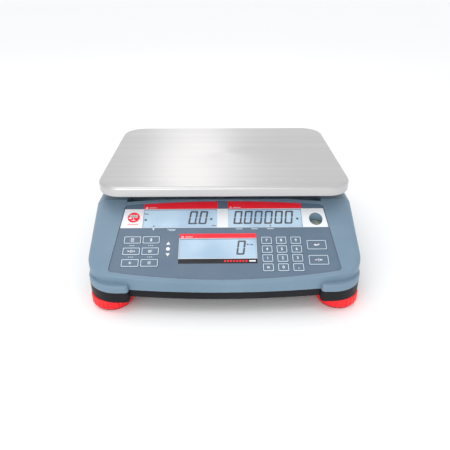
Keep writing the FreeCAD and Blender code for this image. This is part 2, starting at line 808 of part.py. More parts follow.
def make_screws():
    screws = []
    head_top = size("floor_bottom") + 1 + size("screw_head_height")
    for index, place in enumerate(post_places()):
        start = Vector(place.x, place.y, head_top)
        head = cylinder(f"screw_head_{index}", "screw_head", "screw_head_height",
                        start - UP * size("screw_head_height"))
        shank = cylinder(f"screw_shank_{index}", "screw_radius", "screw_length", start)
        screws.append(fuse(f"screw_{index}", [head, shank]))
    node(group("housing_screws", screws))


# ---------------------------------------------------------------- pan, spider and load cell

def make_pan():
    pan = body("pan")
    sketch = sketch_on(pan, "XY_Plane", "pan_sketch")
    rectangle(sketch, "pan_width", "pan_depth")
    pad(pan, sketch, "pan_pad", "pan_rim")
    fillet(pan, "pan_corners", "pan_corner", is_upright)
    fillet(pan, "pan_top_edge", "pan_edge", at_height(size("pan_rim")))
    open_face = next(f"Face{number}" for number, face in enumerate(pan.Shape.Faces, start=1)
                     if abs(face.CenterOfMass.z) < 0.01)
    base = pan.Tip
    skin = pan.newObject("PartDesign::Thickness", "pan_skin")
    skin.Base = (base, [open_face])
    skin.Reversed = True
    skin.setExpression("Value", bound("pan_sheet"))
    doc.recompute()
    pan.Placement = Placement(pan_centre + UP * (size("overall_height") - size("pan_rim")),
                              Rotation())
    node(pan)


def cushion_places():
    return [pan_centre + Vector(x * size("cushion_across"), y * size("cushion_along"), 0)
            for x in (-1, 1) for y in (-1, 1)]


def make_spider():
    cushions = [cylinder(f"cushion_{index}", "cushion_radius", "cushion_height",
                         place + UP * spider_top)
                for index, place in enumerate(cushion_places())]
    node(group("pan_cushions", cushions))
    column_centre = pan_centre + ALONG_X * cell_end_across
    pieces = [box("spider_column", "column_width", "column_depth",
                  "overall_height / 2", column_centre + UP * column_bottom)]
    trim = box("spider_trim", "pan_width", "pan_depth", "overall_height",
               pan_centre + UP * (spider_bottom + size("arm_plate")))
    pieces = [cut("spider_column_trimmed", pieces[0], trim)]
    pieces.append(box("spider_plate", "hub_plate_width", "hub_plate_depth", "arm_plate",
                      pan_centre + Vector(cell_end_across / 5, 0, spider_bottom)))
    for index, place in enumerate(cushion_places()):
        pieces.append(cylinder(f"spider_pad_{index}", "cushion_radius + 4", "arm_thickness",
                               place + UP * spider_bottom))
        arm = doc.addObject("Part::Box", f"spider_arm_{index}")
        bind(arm, Width="arm_width", Height="arm_thickness")
        reach = place - pan_centre
        arm.Length = reach.Length
        turn = Rotation(ALONG_X, reach)
        corner = pan_centre + UP * spider_bottom - turn.multVec(ALONG_Y) * arm.Width.Value / 2
        arm.Placement = Placement(corner, turn)
        pieces.append(arm)
    tools = [box("spider_bore", "column_width - 2 * column_wall", "column_depth - 2 * column_wall",
                 "overall_height", column_centre + UP * (column_bottom + size("column_floor")))]
    for index, place in enumerate(bolt_places(1)):
        tools.append(cylinder(f"spider_bolt_hole_{index}", "bolt_radius + bolt_clearance",
                              "column_floor + 2", place + UP * (column_bottom - 1)))
    node(cut("spider", fuse("spider_solid", pieces), fuse("spider_tools", tools)))


def bolt_places(end):
    """The two bolts at one end of the load cell: -1 fixed, 1 live."""
    half = size("bolt_pitch") / 2
    return [pan_centre + Vector(end * cell_end_across, y, 0) for y in (-half, half)]


def make_load_cell():
    bar = box("cell_bar", "cell_length", "cell_width", "cell_height",
              pan_centre + UP * cell_bottom)
    middle = pan_centre + Vector(0, -size("cell_width"), (cell_bottom + cell_top) / 2)
    tools = []
    for side in (-1, 1):
        tools.append(cylinder(f"cell_window_{side + 1}", "cell_hole", "2 * cell_width",
                              middle + ALONG_X * side * size("cell_hole_pitch") / 2, ALONG_Y))
    tools.append(box("cell_slot_space", "cell_hole_pitch", "2 * cell_width", "cell_slot",
                     pan_centre + UP * (middle.z - size("cell_slot") / 2)))
    for end, start in ((-1, cell_bottom - 1), (1, cell_top - size("bolt_thread") - 2)):
        for index, place in enumerate(bolt_places(end)):
            tools.append(cylinder(f"cell_thread_{end + 1}_{index}", "bolt_radius + fit",
                                  "bolt_thread + 3", place + UP * start))
    node(cut("load_cell", bar, fuse("cell_tools", tools)))


def spacer(label, height, bottom, end):
    block = box(label + "_block", "cell_end", "cell_width", height,
                pan_centre + Vector(end * cell_end_across, 0, bottom))
    holes = [cylinder(f"{label}_hole_{index}", "bolt_radius + bolt_clearance", height + " + 2",
                      place + UP * (bottom - 1)) for index, place in enumerate(bolt_places(end))]
    node(cut(label, block, fuse(label + "_holes", holes)))


def bolt_set(label, end, shank, shank_start, head, head_start):
    """Two socket screws; the hexagon socket is sunk half way into each head."""
    bolts = []
    for index, place in enumerate(bolt_places(end)):
        rod = cylinder(f"{label}_shank_{index}", "bolt_radius", shank, place + UP * shank_start)
        cap = cylinder(f"{label}_head_{index}", "bolt_head", head, place + UP * head_start)
        lift = size("bolt_head_height") / 2 if end > 0 else -size("low_head_height") / 2
        socket = hexagon(f"{label}_socket_{index}", "bolt_head", head,
                         place + UP * (head_start + lift))
        bolts.append(cut(f"{label}_{index}", fuse(f"{label}_solid_{index}", [rod, cap]), socket))
    node(group(label, bolts))


def make_cell_fixings():
    spacer("cell_spacer_lower", "spacer_lower", plate_top, -1)
    spacer("cell_spacer_upper", "spacer_upper", cell_top, 1)
    bolt_set("cell_bolts_lower", -1, "plate_thickness + spacer_lower + bolt_thread",
             plate_bottom, "low_head_height", plate_bottom - size("low_head_height"))
    bolt_set("cell_bolts_upper", 1, "column_floor + spacer_upper + bolt_thread",
             cell_top - size("bolt_thread"), "bolt_head_height",
             column_bottom + size("column_floor"))
    stops = []
    for index, place in enumerate(bolt_places(1)):
        rod = cylinder(f"stop_rod_{index}", "bolt_radius",
                       "plate_height + plate_thickness + spacer_lower - stop_gap - 1",
                       place + UP * (floor_top + 1))
        nut = hexagon(f"stop_nut_{index}", "stop_nut", "stop_nut_height", place + UP * plate_top)
        stops.append(fuse(f"stop_{index}", [rod, nut]))
    node(group("overload_stops", stops))


def make_base_plate():
    sheet = box("plate_sheet", "plate_width", "plate_depth", "plate_thickness",
                Vector(0, pan_centre.y - size("plate_offset"), plate_bottom))
    holes = []
    for index, place in enumerate(bolt_places(-1)):
        holes.append(cylinder(f"plate_bolt_hole_{index}", "bolt_radius + bolt_clearance",
                              "plate_thickness + 2", place + UP * (plate_bottom - 1)))
    for index, place in enumerate(bolt_places(1)):
        holes.append(cylinder(f"plate_stop_hole_{index}", "bolt_radius + fit",
                              "plate_thickness + 2", place + UP * (plate_bottom - 1)))
    for index, place in enumerate(stake_places()):
        holes.append(cylinder(f"plate_stake_hole_{index}", "stake_radius + stake_clearance",
                              "plate_thickness + 2", place + UP * (plate_bottom - 1)))
    node(cut("base_plate", sheet, fuse("plate_holes", holes)))


# ---------------------------------------------------------------- boards, battery and connectors

def make_boards():
    along = main_board_along
    top = board_bottom + size("board_thickness")
    pieces = [box("main_sheet", "main_board_width", "main_board_depth", "board_thickness",
                  Vector(0, along, board_bottom))]
    chip = "switch_size * 2"
    for index, across in enumerate((-36, -8, 20)):
        pieces.append(box(f"main_chip_{index}", chip, chip, "switch_height",
                          Vector(across, along - 4, top)))
    pieces.append(box("main_header", "switch_size * 5", "switch_size", "board_height",
                      Vector(0, along + 15, top)))
    pieces.append(box("main_cell_socket", "switch_size * 2", "switch_size", "board_height",
                      Vector(-size("main_board_width") / 3, along + 15, top)))
    node(fuse("main_board", pieces))
    centre = Vector(size("supply_across"), supply_along, 0)
    pieces = [box("supply_sheet", "supply_width", "supply_depth", "board_thickness",
                  centre + UP * board_bottom)]
    pieces.append(box("transformer", "supply_width / 2", "supply_depth / 1.8",
                      "4 * board_height", centre + Vector(-14, 4, top)))
    for index, across in enumerate((18, 35)):
        pieces.append(cylinder(f"capacitor_{index}", "battery_height / 7", "3 * board_height",
                               centre + Vector(across, 14, top)))
    pieces.append(box("supply_sink", "supply_width / 3", "board_thickness * 2",
                      "3 * board_height", centre + Vector(26, -12, top)))
    node(fuse("power_supply", pieces))


def make_battery():
    centre = Vector(size("battery_across"), pan_centre.y + size("battery_offset"), floor_top)
    case = box("battery_case", "battery_length", "battery_width", "battery_height", centre)
    edges = edge_numbers(case.Shape, is_upright)
    case = round_edges("battery_rounded", case, [(number, 2, 2) for number in edges])
    tabs = [box(f"battery_tab_{index}", "strap_width / 3", "strap_thickness",
                "strap_width / 3",
                centre + Vector(size("battery_length") / 2 + 2, y, size("battery_height") - 14))
            for index, y in enumerate((-20, 20))]
    node(fuse("battery", [case] + tabs))
    clear = size("overlay_gap")
    thick = size("strap_thickness")
    outer = box("strap_outer", "strap_width", "battery_width + 2 * overlay_gap"
                " + 2 * strap_thickness", "battery_height + overlay_gap + strap_thickness", centre)
    inner = box("strap_inner", "2 * strap_width", "battery_width + 2 * overlay_gap",
                "battery_height + overlay_gap", centre)
    pieces = [cut("strap_bridge", outer, inner)]
    for side in (-1, 1):
        reach = size("battery_width") / 2 + clear + thick / 2 + size("strap_foot") / 2
        pieces.append(box(f"strap_foot_{side + 1}", "strap_width", "strap_foot",
                          "strap_thickness", centre + Vector(0, side * reach, 0)))
    node(fuse("battery_strap", pieces))


def make_inlet():
    """Recessed three-pin mains inlet; the pins stop short of the mouth."""
    across = size("inlet_across")
    height = size("inlet_height")
    face = rear_wall + size("inlet_flange")
    shell = box("inlet_shell", "inlet_width", "inlet_depth", "inlet_tall",
                Vector(across, rear_wall - size("inlet_depth") / 2,
                       height - size("inlet_tall") / 2))
    flange = box("inlet_flange_plate", "inlet_width + 2 * inlet_lip", "inlet_flange",
                 "inlet_tall + 2 * inlet_lip",
                 Vector(across, rear_wall + size("inlet_flange") / 2,
                        height - size("inlet_tall") / 2 - size("inlet_lip")))
    depth = size("inlet_depth") - size("inlet_back")
    mouth = box("inlet_mouth", "inlet_mouth_width", "inlet_depth", "inlet_mouth_tall",
                Vector(across, face - depth + size("inlet_depth") / 2,
                       height - size("inlet_mouth_tall") / 2))
    pins = []
    reach, low = size("pin_across"), -size("pin_drop")
    start = face - depth - size("pin_tail") - 1
    end = face - size("inlet_recess")
    for index, (x, z) in enumerate(((-reach, low), (reach, low), (0, size("pin_rise")))):
        pin = doc.addObject("Part::Box", f"inlet_pin_{index}")
        bind(pin, Length="pin_width", Height="pin_height")
        pin.Width = end - start
        pin.Placement = Placement(Vector(across + x - size("pin_width") / 2, start,
                                         height + z - size("pin_height") / 2), Rotation())
        pins.append(pin)
    hollow = cut("inlet_hollow", fuse("inlet_solid", [shell, flange]), mouth)
    node(fuse("ac_inlet", [hollow] + pins))


def make_port():
    """Nine-way socket: plate behind the wall, shell through it, nine contact holes."""
    across = size("port_across")
    height = size("inlet_height")
    inside = rear_wall - wall
    plate = box("port_plate_sheet", "port_plate", "shell_wall / 2", "port_plate_tall",
                Vector(across, inside - wall / 4, height - size("port_plate_tall") / 2))
    shell = box("port_shell", "port_width", "port_reach + 1", "port_tall",
                Vector(across, inside + (size("port_reach") - 1) / 2,
                       height - size("port_tall") / 2))
    edges = edge_numbers(shell.Shape, lambda points: abs(points[0].y - points[4].y) > 3)
    shell = round_edges("port_shell_rounded", shell, [(number, 2, 2) for number in edges])
    rear = box("port_rear", "port_width", "2 * port_reach", "port_tall",
               Vector(across, inside - wall / 2 - size("port_reach"),
                      height - size("port_tall") / 2))
    holes = []
    for side, count in ((1, 5), (-1, 4)):
        for index in range(count):
            x = (index - (count - 1) / 2) * size("contact_pitch")
            hole = doc.addObject("Part::Cylinder", f"port_hole_{count}_{index}")
            bind(hole, Radius="contact_radius", Height="contact_depth")
            start = Vector(across + x, inside + size("port_reach") + 1,
                           height + side * size("contact_row"))
            hole.Placement = Placement(start, Rotation(UP, -ALONG_Y))
            holes.append(hole)
    node(cut("serial_port", fuse("port_solid", [plate, shell, rear]),
             fuse("port_holes", holes)))


# ---------------------------------------------------------------- levelling feet

def wheel_profile():
    """Half section of the foot wheel: rounded rim, hub bore and a shallow dish below."""
    low = size("pad_thickness") + size("foot_gap")
    top = size("foot_top")
    radius = size("foot_radius")
    bore = size("pivot_radius") + size("fit")
    ceiling = size("pad_thickness") + size("pivot_height") + size("foot_gap")
    stud = size("stud_radius") + size("fit")
    turn = 1.2
    bend = turn * (1 - math.sqrt(0.5))
    points = [Vector(bore, low, 0), Vector(radius - 2 * turn, low, 0),
              Vector(radius, low + 2 * turn, 0), Vector(radius, top - turn, 0),
              Vector(radius - turn, top, 0), Vector(stud, top, 0), Vector(stud, ceiling, 0),
              Vector(bore, ceiling, 0)]
    lower_bend = Vector(radius - 2 * bend, low + 2 * bend, 0)
    upper_bend = Vector(radius - bend, top - bend, 0)
    return [(points[0], points[1]), (points[1], lower_bend, points[2]),
            (points[2], points[3]), (points[3], upper_bend, points[4]),
            (points[4], points[5]), (points[5], points[6]), (points[6], points[7]),
            (points[7], points[0])]


def make_wheel(place, axis):
    wheel = body("wheel_blank_" + place)
    section = sketch_on(wheel, "XZ_Plane", f"wheel_section_{place}")
    outline(section, wheel_profile())
    turned = wheel.newObject("PartDesign::Revolution", f"wheel_turned_{place}")
    turned.Profile = section
    turned.ReferenceAxis = (section, ["V_Axis"])
    turned.Angle = 360
    doc.recompute()
    flute = sketch_on(wheel, "XY_Plane", f"flute_sketch_{place}")
    gap = size("flute_radius")
    ring = flute.addGeometry(
        Part.Circle(Vector(size("foot_radius") + gap * 0.45, 0, 0), UP, gap), False)
    flute.addConstraint(Sketcher.Constraint("Block", ring))
    groove = pocket_up(wheel, flute, f"flute_{place}", "foot_top + 1")
    ring = wheel.newObject("PartDesign::PolarPattern", f"flutes_{place}")
    ring.Originals = [groove]
    ring.Axis = (flute, ["N_Axis"])
    ring.Angle = 360
    ring.setExpression("Occurrences", bound("flute_count"))
    wheel.Tip = ring
    doc.recompute()
    seat = size("pad_thickness") + size("pivot_height") + size("foot_gap")
    head = hexagon(f"wheel_hex_{place}", "hex_width + 2 * fit", "hex_height + fit",
                   Vector(0, 0, seat))
    fitted = cut("foot_wheel_" + place, wheel, head)
    fitted.Placement = Placement(axis, Rotation())
    node(fitted)


def make_feet():
    nuts = []
    seat = size("pad_thickness") + size("pivot_height") + size("foot_gap")
    for side, end, place in CORNERS:
        axis = Vector(side * foot_across, end * foot_along, 0)
        make_wheel(place, axis)
        rod = cylinder("stud_rod_" + place, "stud_radius", "stud_top - pad_thickness"
                       " - pivot_height - foot_gap", axis + UP * seat)
        head = hexagon("stud_head_" + place, "hex_width", "hex_height", axis + UP * seat)
        node(fuse("foot_stud_" + place, [rod, head]))
        disc = cylinder("pad_disc_" + place, "pad_radius", "pad_thickness", axis)
        pivot = cylinder("pad_pivot_" + place, "pivot_radius", "pivot_height + 0.5",
                         axis + UP * (size("pad_thickness") - 0.5))
        node(fuse("foot_pad_" + place, [disc, pivot]))
        block = hexagon("nut_block_" + place, "hex_width", "nut_height", axis + UP * pod_top)
        bore = cylinder("nut_bore_" + place, "stud_radius + fit", "nut_height + 2",
                        axis + UP * (pod_top - 1))
        nuts.append(cut("nut_" + place, block, bore))
    node(group("foot_nuts", nuts))


# ---------------------------------------------------------------- build, test and write

make_pan()
make_spider()
make_load_cell()
make_cell_fixings()
make_base_plate()
make_bottom_housing()
make_top_housing()
make_overlay()
make_displays()
make_keys()
make_display_board()
make_lights()
make_level()
make_boards()
make_battery()
make_inlet()
make_port()
make_screws()
make_feet()
doc.recompute()

for item in doc.Objects:
    if "Invalid" in item.State or "Error" in item.State:
        raise RuntimeError(item.Label + " did not build")
for item in finished:
    if item.Shape.isNull() or not item.Shape.isValid() or not item.Shape.Solids:
        raise RuntimeError(item.Label + " has no sound shape")

os.makedirs("parts", exist_ok=True)
for item in finished:
    item.Shape.exportStep(f"parts/{item.Label}.step")
print(len(finished), "parts written")
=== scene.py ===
import json
import math
from types import SimpleNamespace

import bmesh
import bpy
from mathutils import Matrix, Vector


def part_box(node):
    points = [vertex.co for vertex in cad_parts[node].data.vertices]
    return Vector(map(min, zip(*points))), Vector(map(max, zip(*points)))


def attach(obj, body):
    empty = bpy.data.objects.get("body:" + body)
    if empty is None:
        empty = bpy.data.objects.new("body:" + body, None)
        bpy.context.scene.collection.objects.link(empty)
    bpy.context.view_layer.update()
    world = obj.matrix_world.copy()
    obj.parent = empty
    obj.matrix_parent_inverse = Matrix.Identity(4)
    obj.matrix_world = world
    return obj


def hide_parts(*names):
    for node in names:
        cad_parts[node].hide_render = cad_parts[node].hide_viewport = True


# Looks for the counting scale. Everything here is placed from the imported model.

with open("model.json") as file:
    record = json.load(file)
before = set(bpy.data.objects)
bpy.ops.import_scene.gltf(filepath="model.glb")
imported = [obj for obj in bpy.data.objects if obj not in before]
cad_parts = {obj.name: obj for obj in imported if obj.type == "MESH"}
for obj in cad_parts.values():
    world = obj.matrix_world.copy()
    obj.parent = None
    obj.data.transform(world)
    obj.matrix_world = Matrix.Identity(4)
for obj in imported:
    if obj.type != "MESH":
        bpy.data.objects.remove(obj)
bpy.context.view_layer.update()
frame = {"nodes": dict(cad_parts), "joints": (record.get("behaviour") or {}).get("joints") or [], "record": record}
cadNodes = frame["nodes"]
bodyOf = {node: body for body, members in frame["record"]["behaviour"]["bodies"].items()
          for node in members}
mm = 0.001
print("frame loaded:", len(cadNodes), "nodes")

# the sloping panel has its own coordinates in mm: across, along (up the slope), and out of the film
press = next(joint for joint in frame["joints"] if joint["name"] == "key_7_press")
panelOut = -Vector(press["axis"]).normalized()
panelAcross = Vector((1, 0, 0))
panelAlong = panelOut.cross(panelAcross)

# rearReach is from the panel's zero line to the film's rear edge, at the middle; margin is how
# far inside the film's edge the print stops
filmLook = {"rearReach": 51.5, "rearCorner": 45.6, "rearHalf": 119, "frontCorner": -45.2,
            "frontHalf": 129, "margin": 0.7}


def named(values):
    return SimpleNamespace(**values)


def addObject(name, data):
    item = bpy.data.objects.new(name, data)
    bpy.context.scene.collection.objects.link(item)
    return item


film = named(filmLook)


def panelMatrix():
    points = [vertex.co for vertex in cadNodes["panel_overlay"].data.vertices]
    out = max(point.dot(panelOut) for point in points)
    rear = max(point.dot(panelAlong) for point in points)
    origin = panelOut * out + panelAlong * (rear - film.rearReach * mm)
    turn = Matrix((panelAcross, panelAlong, panelOut)).transposed().to_4x4()
    return Matrix.Translation(origin) @ turn @ Matrix.Scale(mm, 4)


panel = panelMatrix()
panelInverse = panel.inverted()


def boxOf(node):
    low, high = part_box(node)
    return low, high, (low + high) / 2


def extent(node):
    # lowest and highest across, along and out of a CAD node, in panel mm
    points = [panelInverse @ vertex.co for vertex in cadNodes[node].data.vertices]
    return (Vector(min(point[axis] for point in points) for axis in range(3)),
            Vector(max(point[axis] for point in points) for axis in range(3)))


# ---- camera, floor and light

cameraLook = {"lens": 36.82, "place": (-0.0051, -0.5675, 0.3384), "pitch": 29.25, "yaw": 0.686}


def makeCamera():
    camera = addObject("camera", bpy.data.cameras.new("camera"))
    camera.data.lens = cameraLook["lens"]
    camera.location = cameraLook["place"]
    camera.rotation_euler = (math.radians(90 - cameraLook["pitch"]), 0,
                             -math.radians(cameraLook["yaw"]))
    bpy.context.scene.camera = camera


studio = {
    "floorColour": (0.965, 0.965, 0.965), "floorHalf": 30, "floorRoughness": 0.75,
    "skyColour": (0.98, 0.99, 1.0), "skyStrength": 1.0,
    # place, size across and along, power in watts, colour
    "lamps": {
        "overhead": ((-0.3, -0.15, 1.3), (0.9, 0.7), 2.5, (1.0, 0.99, 0.98)),
        "rearBox": ((-0.12, 1.25, 0.85), (0.3, 0.7), 0.75, (1.0, 0.985, 0.95)),
        "frontFill": ((-0.45, -1.3, 0.55), (1.2, 0.8), 5.5, (0.99, 0.995, 1.0)),
    },
}


def makeStudio():
    half = studio["floorHalf"]
    mesh = bpy.data.meshes.new("studioFloor")
    mesh.from_pydata([(-half, -half, 0), (half, -half, 0), (half, half, 0), (-half, half, 0)],
                     [], [(0, 1, 2, 3)])
    floor = addObject("studioFloor", mesh)
    material, tree, shader = newMaterial("studio floor")
    plugAll(tree, shader, {"Base Color": (*studio["floorColour"], 1),
                           "Roughness": studio["floorRoughness"]})
    mesh.materials.append(material)
    world = bpy.data.worlds.new("studio")
    world.use_nodes = True
    plugAll(world.node_tree, world.node_tree.nodes["Background"],
            {"Color": (*studio["skyColour"], 1), "Strength": studio["skyStrength"]})
    bpy.context.scene.world = world
    for name, (place, spread, power, colour) in studio["lamps"].items():
        lamp = bpy.data.lights.new(name, "AREA")
        lamp.shape = "RECTANGLE"
        lamp.size, lamp.size_y = spread
        lamp.energy = power
        lamp.color = colour
        item = addObject(name, lamp)
        item.location = place
        item.rotation_euler = (-Vector(place)).to_track_quat("-Z", "Y").to_euler()
    bpy.context.scene.view_settings.view_transform = "Standard"


# ---- shader helpers

def newMaterial(name):
    material = bpy.data.materials.new(name)
    material.use_nodes = True
    tree = material.node_tree
    return material, tree, tree.nodes["Principled BSDF"]


def plug(tree, value, socket):
    # a socket takes a number or a colour, or a link from another node's output
    if isinstance(value, bpy.types.NodeSocket):
        tree.links.new(value, socket)
    else:
        socket.default_value = value


def plugAll(tree, node, sockets):
    # the sockets' names have _ for a space
    for key, value in sockets.items():
        plug(tree, value, node.inputs[key.replace("_", " ")])
    return node


def shaderNode(tree, kind, settings=None, **sockets):
    node = tree.nodes.new(kind)
    for key, value in (settings or {}).items():
        setattr(node, key, value)
    return plugAll(tree, node, sockets)


def placeGroup(tree, group, **sockets):
    return shaderNode(tree, "ShaderNodeGroup", {"node_tree": group}, **sockets)


def mixColour(tree, factor, first, second):
    # a colour mix has its factor at socket 0, and its colours at 6 and 7
    node = shaderNode(tree, "ShaderNodeMix", {"data_type": "RGBA"})
    for value, place in ((factor, 0), (first, 6), (second, 7)):
        plug(tree, value, node.inputs[place])
    return node.outputs[2]


def twoInputs(tree, kind, settings, first, second):
    node = shaderNode(tree, kind, settings)
    plug(tree, first, node.inputs[0])
    plug(tree, second, node.inputs[1])
    return node.outputs


def mathNode(tree, operation, first, second, clamp=False):
    settings = {"operation": operation, "use_clamp": clamp}
    return twoInputs(tree, "ShaderNodeMath", settings, first, second)[0]


def vectorMath(tree, operation, first, second):
    return twoInputs(tree, "ShaderNodeVectorMath", {"operation": operation}, first, second)


def rangeNode(tree, value, ends, toLow=0.0, toHigh=1.0):
    return shaderNode(tree, "ShaderNodeMapRange", {"interpolation_type": "SMOOTHSTEP"},
                      Value=value, From_Min=ends[0], From_Max=ends[1], To_Min=toLow,
                      To_Max=toHigh).outputs["Result"]


def objectPlace(tree):
    return shaderNode(tree, "ShaderNodeTexCoord").outputs["Object"]


def surfaceNormal(tree):
    return shaderNode(tree, "ShaderNodeNewGeometry").outputs["Normal"]


def noise(tree, where, **sockets):
    return shaderNode(tree, "ShaderNodeTexNoise", Vector=where, **sockets).outputs["Fac"]


def newGroup(name, inputs, outputs):
    group = bpy.data.node_groups.new(name, "ShaderNodeTree")
    for label, (kind, value) in inputs.items():
        socket = group.interface.new_socket(label, in_out="INPUT", socket_type=kind)
        socket.default_value = value
    for label, kind in outputs.items():
        group.interface.new_socket(label, in_out="OUTPUT", socket_type=kind)
    return group, group.nodes.new("NodeGroupInput").outputs, group.nodes.new("NodeGroupOutput")


def variedRoughness(group, given, value):
    # the roughness goes up and down with a noise, whose middle is a half
    offset = mathNode(group, "MULTIPLY", mathNode(group, "SUBTRACT", value, 0.5),
                      given["Roughness Spread"])
    return mathNode(group, "ADD", given["Roughness"], offset)


floatKind = "NodeSocketFloat"
colourKind = "NodeSocketColor"


def number(value):
    return floatKind, value


def grey(value):
    return colourKind, (value, value, value, 1)


textured = {"Colour": colourKind, "Roughness": floatKind, "Height": floatKind}
masked = {"Colour": colourKind, "Mask": floatKind}

# scales are in waves per metre; a pair is where a value starts to count and where it is full
groupLook = dict(driftScale=14.0, speckShare=0.3, rubScale=160.0, dustScale=45.0, bandScale=60.0,
    lineShare=0.5, bandShare=0.5, noiseEnds=(0.3, 0.7), dustEnds=(0.35, 0.75),
    upwardEnds=(0.4, 1.0), edgeEnds=(0.99, 0.8))

shared = named(groupLook)


def mouldedGrainGroup():
    # fine spark-eroded texture, with slow drift in colour and gloss over the moulding
    group, given, result = newGroup(
        "moulded grain",
        {"Colour": grey(0.5), "Tint": grey(0.6),
         "Grain Scale": number(1500.0), "Drift": number(0.5),
         "Roughness": number(0.45), "Roughness Spread": number(0.1)}, textured)
    where = objectPlace(group)
    fine = noise(group, where, Scale=given["Grain Scale"], Detail=3.0, Roughness=0.65)
    slow = noise(group, where, Scale=shared.driftScale, Detail=2.0)
    share = mathNode(group, "MULTIPLY", rangeNode(group, slow, shared.noiseEnds),
                     given["Drift"])
    speck = mathNode(group, "MULTIPLY", fine, shared.speckShare)
    blend = mathNode(group, "ADD", share, mathNode(group, "MULTIPLY", speck, given["Drift"]),
                     clamp=True)
    plugAll(group, result, {"Colour": mixColour(group, blend, given["Colour"], given["Tint"]),
                            "Roughness": variedRoughness(group, given, fine), "Height": fine})
    return group


def edgeWearAndHighlightGroup():
    # lighter edges where the surface turns within the radius: rubbed wear, and on the blue housing a painted
    # highlight
    group, given, result = newGroup(
        "edge wear",
        {"Colour": grey(0.5), "Worn": grey(0.8),
         "Amount": number(0.3), "Radius": number(0.0008)}, masked)
    turned = shaderNode(group, "ShaderNodeBevel", {"samples": 4}, Radius=given["Radius"])
    match = vectorMath(group, "DOT_PRODUCT", turned.outputs["Normal"], surfaceNormal(group))
    edge = rangeNode(group, match["Value"], shared.edgeEnds)
    rub = noise(group, objectPlace(group), Scale=shared.rubScale, Detail=4.0)
    broken = mathNode(group, "MULTIPLY", edge, rangeNode(group, rub, shared.noiseEnds))
    mask = mathNode(group, "MULTIPLY", broken, given["Amount"], clamp=True)
    plugAll(group, result, {"Colour": mixColour(group, mask, given["Colour"], given["Worn"]),
                            "Mask": mask})
    return group


def settledDustGroup():
    # a thin, patchy veil on what faces up
    group, given, result = newGroup(
        "settled dust",
        {"Colour": grey(0.5), "Dust": (colourKind, (0.7, 0.69, 0.66, 1)),
         "Amount": number(0.1)}, masked)
    facing = shaderNode(group, "ShaderNodeSeparateXYZ", Vector=surfaceNormal(group))
    upward = rangeNode(group, facing.outputs["Z"], shared.upwardEnds)
    patch = noise(group, objectPlace(group), Scale=shared.dustScale, Detail=5.0)
    veil = mathNode(group, "MULTIPLY", upward, rangeNode(group, patch, shared.dustEnds))
    mask = mathNode(group, "MULTIPLY", veil, given["Amount"], clamp=True)
    plugAll(group, result, {"Colour": mixColour(group, mask, given["Colour"], given["Dust"]),
                            "Mask": mask})
    return group


def brushedLinesGroup():
    # long scratches along X, with fainter broad bands across them
    group, given, result = newGroup(
        "brushed lines",
        {"Colour": grey(0.6), "Tint": grey(0.7),
         "Line Scale": number(900.0), "Stretch": number(0.012),
         "Roughness": number(0.3), "Roughness Spread": number(0.15)}, textured)
    ratio = shaderNode(group, "ShaderNodeCombineXYZ", X=given["Stretch"], Y=1.0, Z=1.0)
    pulled = vectorMath(group, "MULTIPLY", objectPlace(group), ratio.outputs[0])[0]
    lines = noise(group, pulled, Scale=given["Line Scale"], Detail=5.0, Roughness=0.7)
    bands = noise(group, pulled, Scale=shared.bandScale, Detail=3.0)
    both = mathNode(group, "ADD", mathNode(group, "MULTIPLY", lines, shared.lineShare),
                    mathNode(group, "MULTIPLY", bands, shared.bandShare))
    share = rangeNode(group, both, shared.noiseEnds)
    plugAll(group, result, {"Colour": mixColour(group, share, given["Colour"], given["Tint"]),
                            "Roughness": variedRoughness(group, given, both), "Height": lines})
    return group


makeCamera()
makeStudio()
mouldedGrain = mouldedGrainGroup()
edgeWearAndHighlight = edgeWearAndHighlightGroup()
settledDust = settledDustGroup()
brushedLines = brushedLinesGroup()
print("camera, studio and shader groups made")


# ---- finishes

def opaque(colour):
    return (*colour, 1)


def addBump(tree, shader, height, look):
    bump = shaderNode(tree, "ShaderNodeBump", Height=height, Distance=look.depth * mm,
                      Strength=look.relief)
    plug(tree, bump.outputs["Normal"], shader.inputs["Normal"])


# lighter edges: rubbed wear, and on the blue housing a painted highlight
def addWearAndHighlight(tree, colour, look):
    return placeGroup(tree, edgeWearAndHighlight, Colour=colour, Worn=opaque(look.worn),
                      Amount=look.wear, Radius=look.edge * mm).outputs["Colour"]


# what a plastic look has unless it says otherwise; drift is how far its colour goes to the tint,
# spread how far its gloss varies, depth and relief the grain's bump
usualPlastic = dict(drift=0.6, roughness=0.42, spread=0.12, wear=0.3, edge=0.5, dust=0.02,
    depth=0.06, relief=0.3, shine=0.3, ior=1.47)


def mouldedPlastic(name, changes):
    look = named({**usualPlastic, **changes})
    material, tree, shader = newMaterial(name)
    grain = placeGroup(tree, mouldedGrain, Colour=opaque(look.colour),
                       Tint=opaque(look.tint), Grain_Scale=look.grain, Drift=look.drift,
                       Roughness=look.roughness, Roughness_Spread=look.spread)
    dust = placeGroup(tree, settledDust, Amount=look.dust,
                      Colour=addWearAndHighlight(tree, grain.outputs["Colour"], look))
    plugAll(tree, shader, {"Base Color": dust.outputs["Colour"], "IOR": look.ior,
                           "Roughness": grain.outputs["Roughness"],
                           "Specular IOR Level": look.shine})
    addBump(tree, shader, grain.outputs["Height"], look)
    return material


usualMetal = dict(wear=0.4, edge=0.4, depth=0.03, relief=0.3, anisotropy=0.0)


def brushedMetal(name, changes):
    look = named({**usualMetal, **changes})
    material, tree, shader = newMaterial(name)
    lines = placeGroup(tree, brushedLines, Colour=opaque(look.colour),
                       Tint=opaque(look.tint), Line_Scale=look.lines,
                       Stretch=look.stretch, Roughness=look.roughness,
                       Roughness_Spread=look.spread)
    plugAll(tree, shader, {"Base Color": addWearAndHighlight(tree, lines.outputs["Colour"], look),
                           "Roughness": lines.outputs["Roughness"], "Metallic": 1,
                           "Anisotropic": look.anisotropy})
    addBump(tree, shader, lines.outputs["Height"], look)
    return material


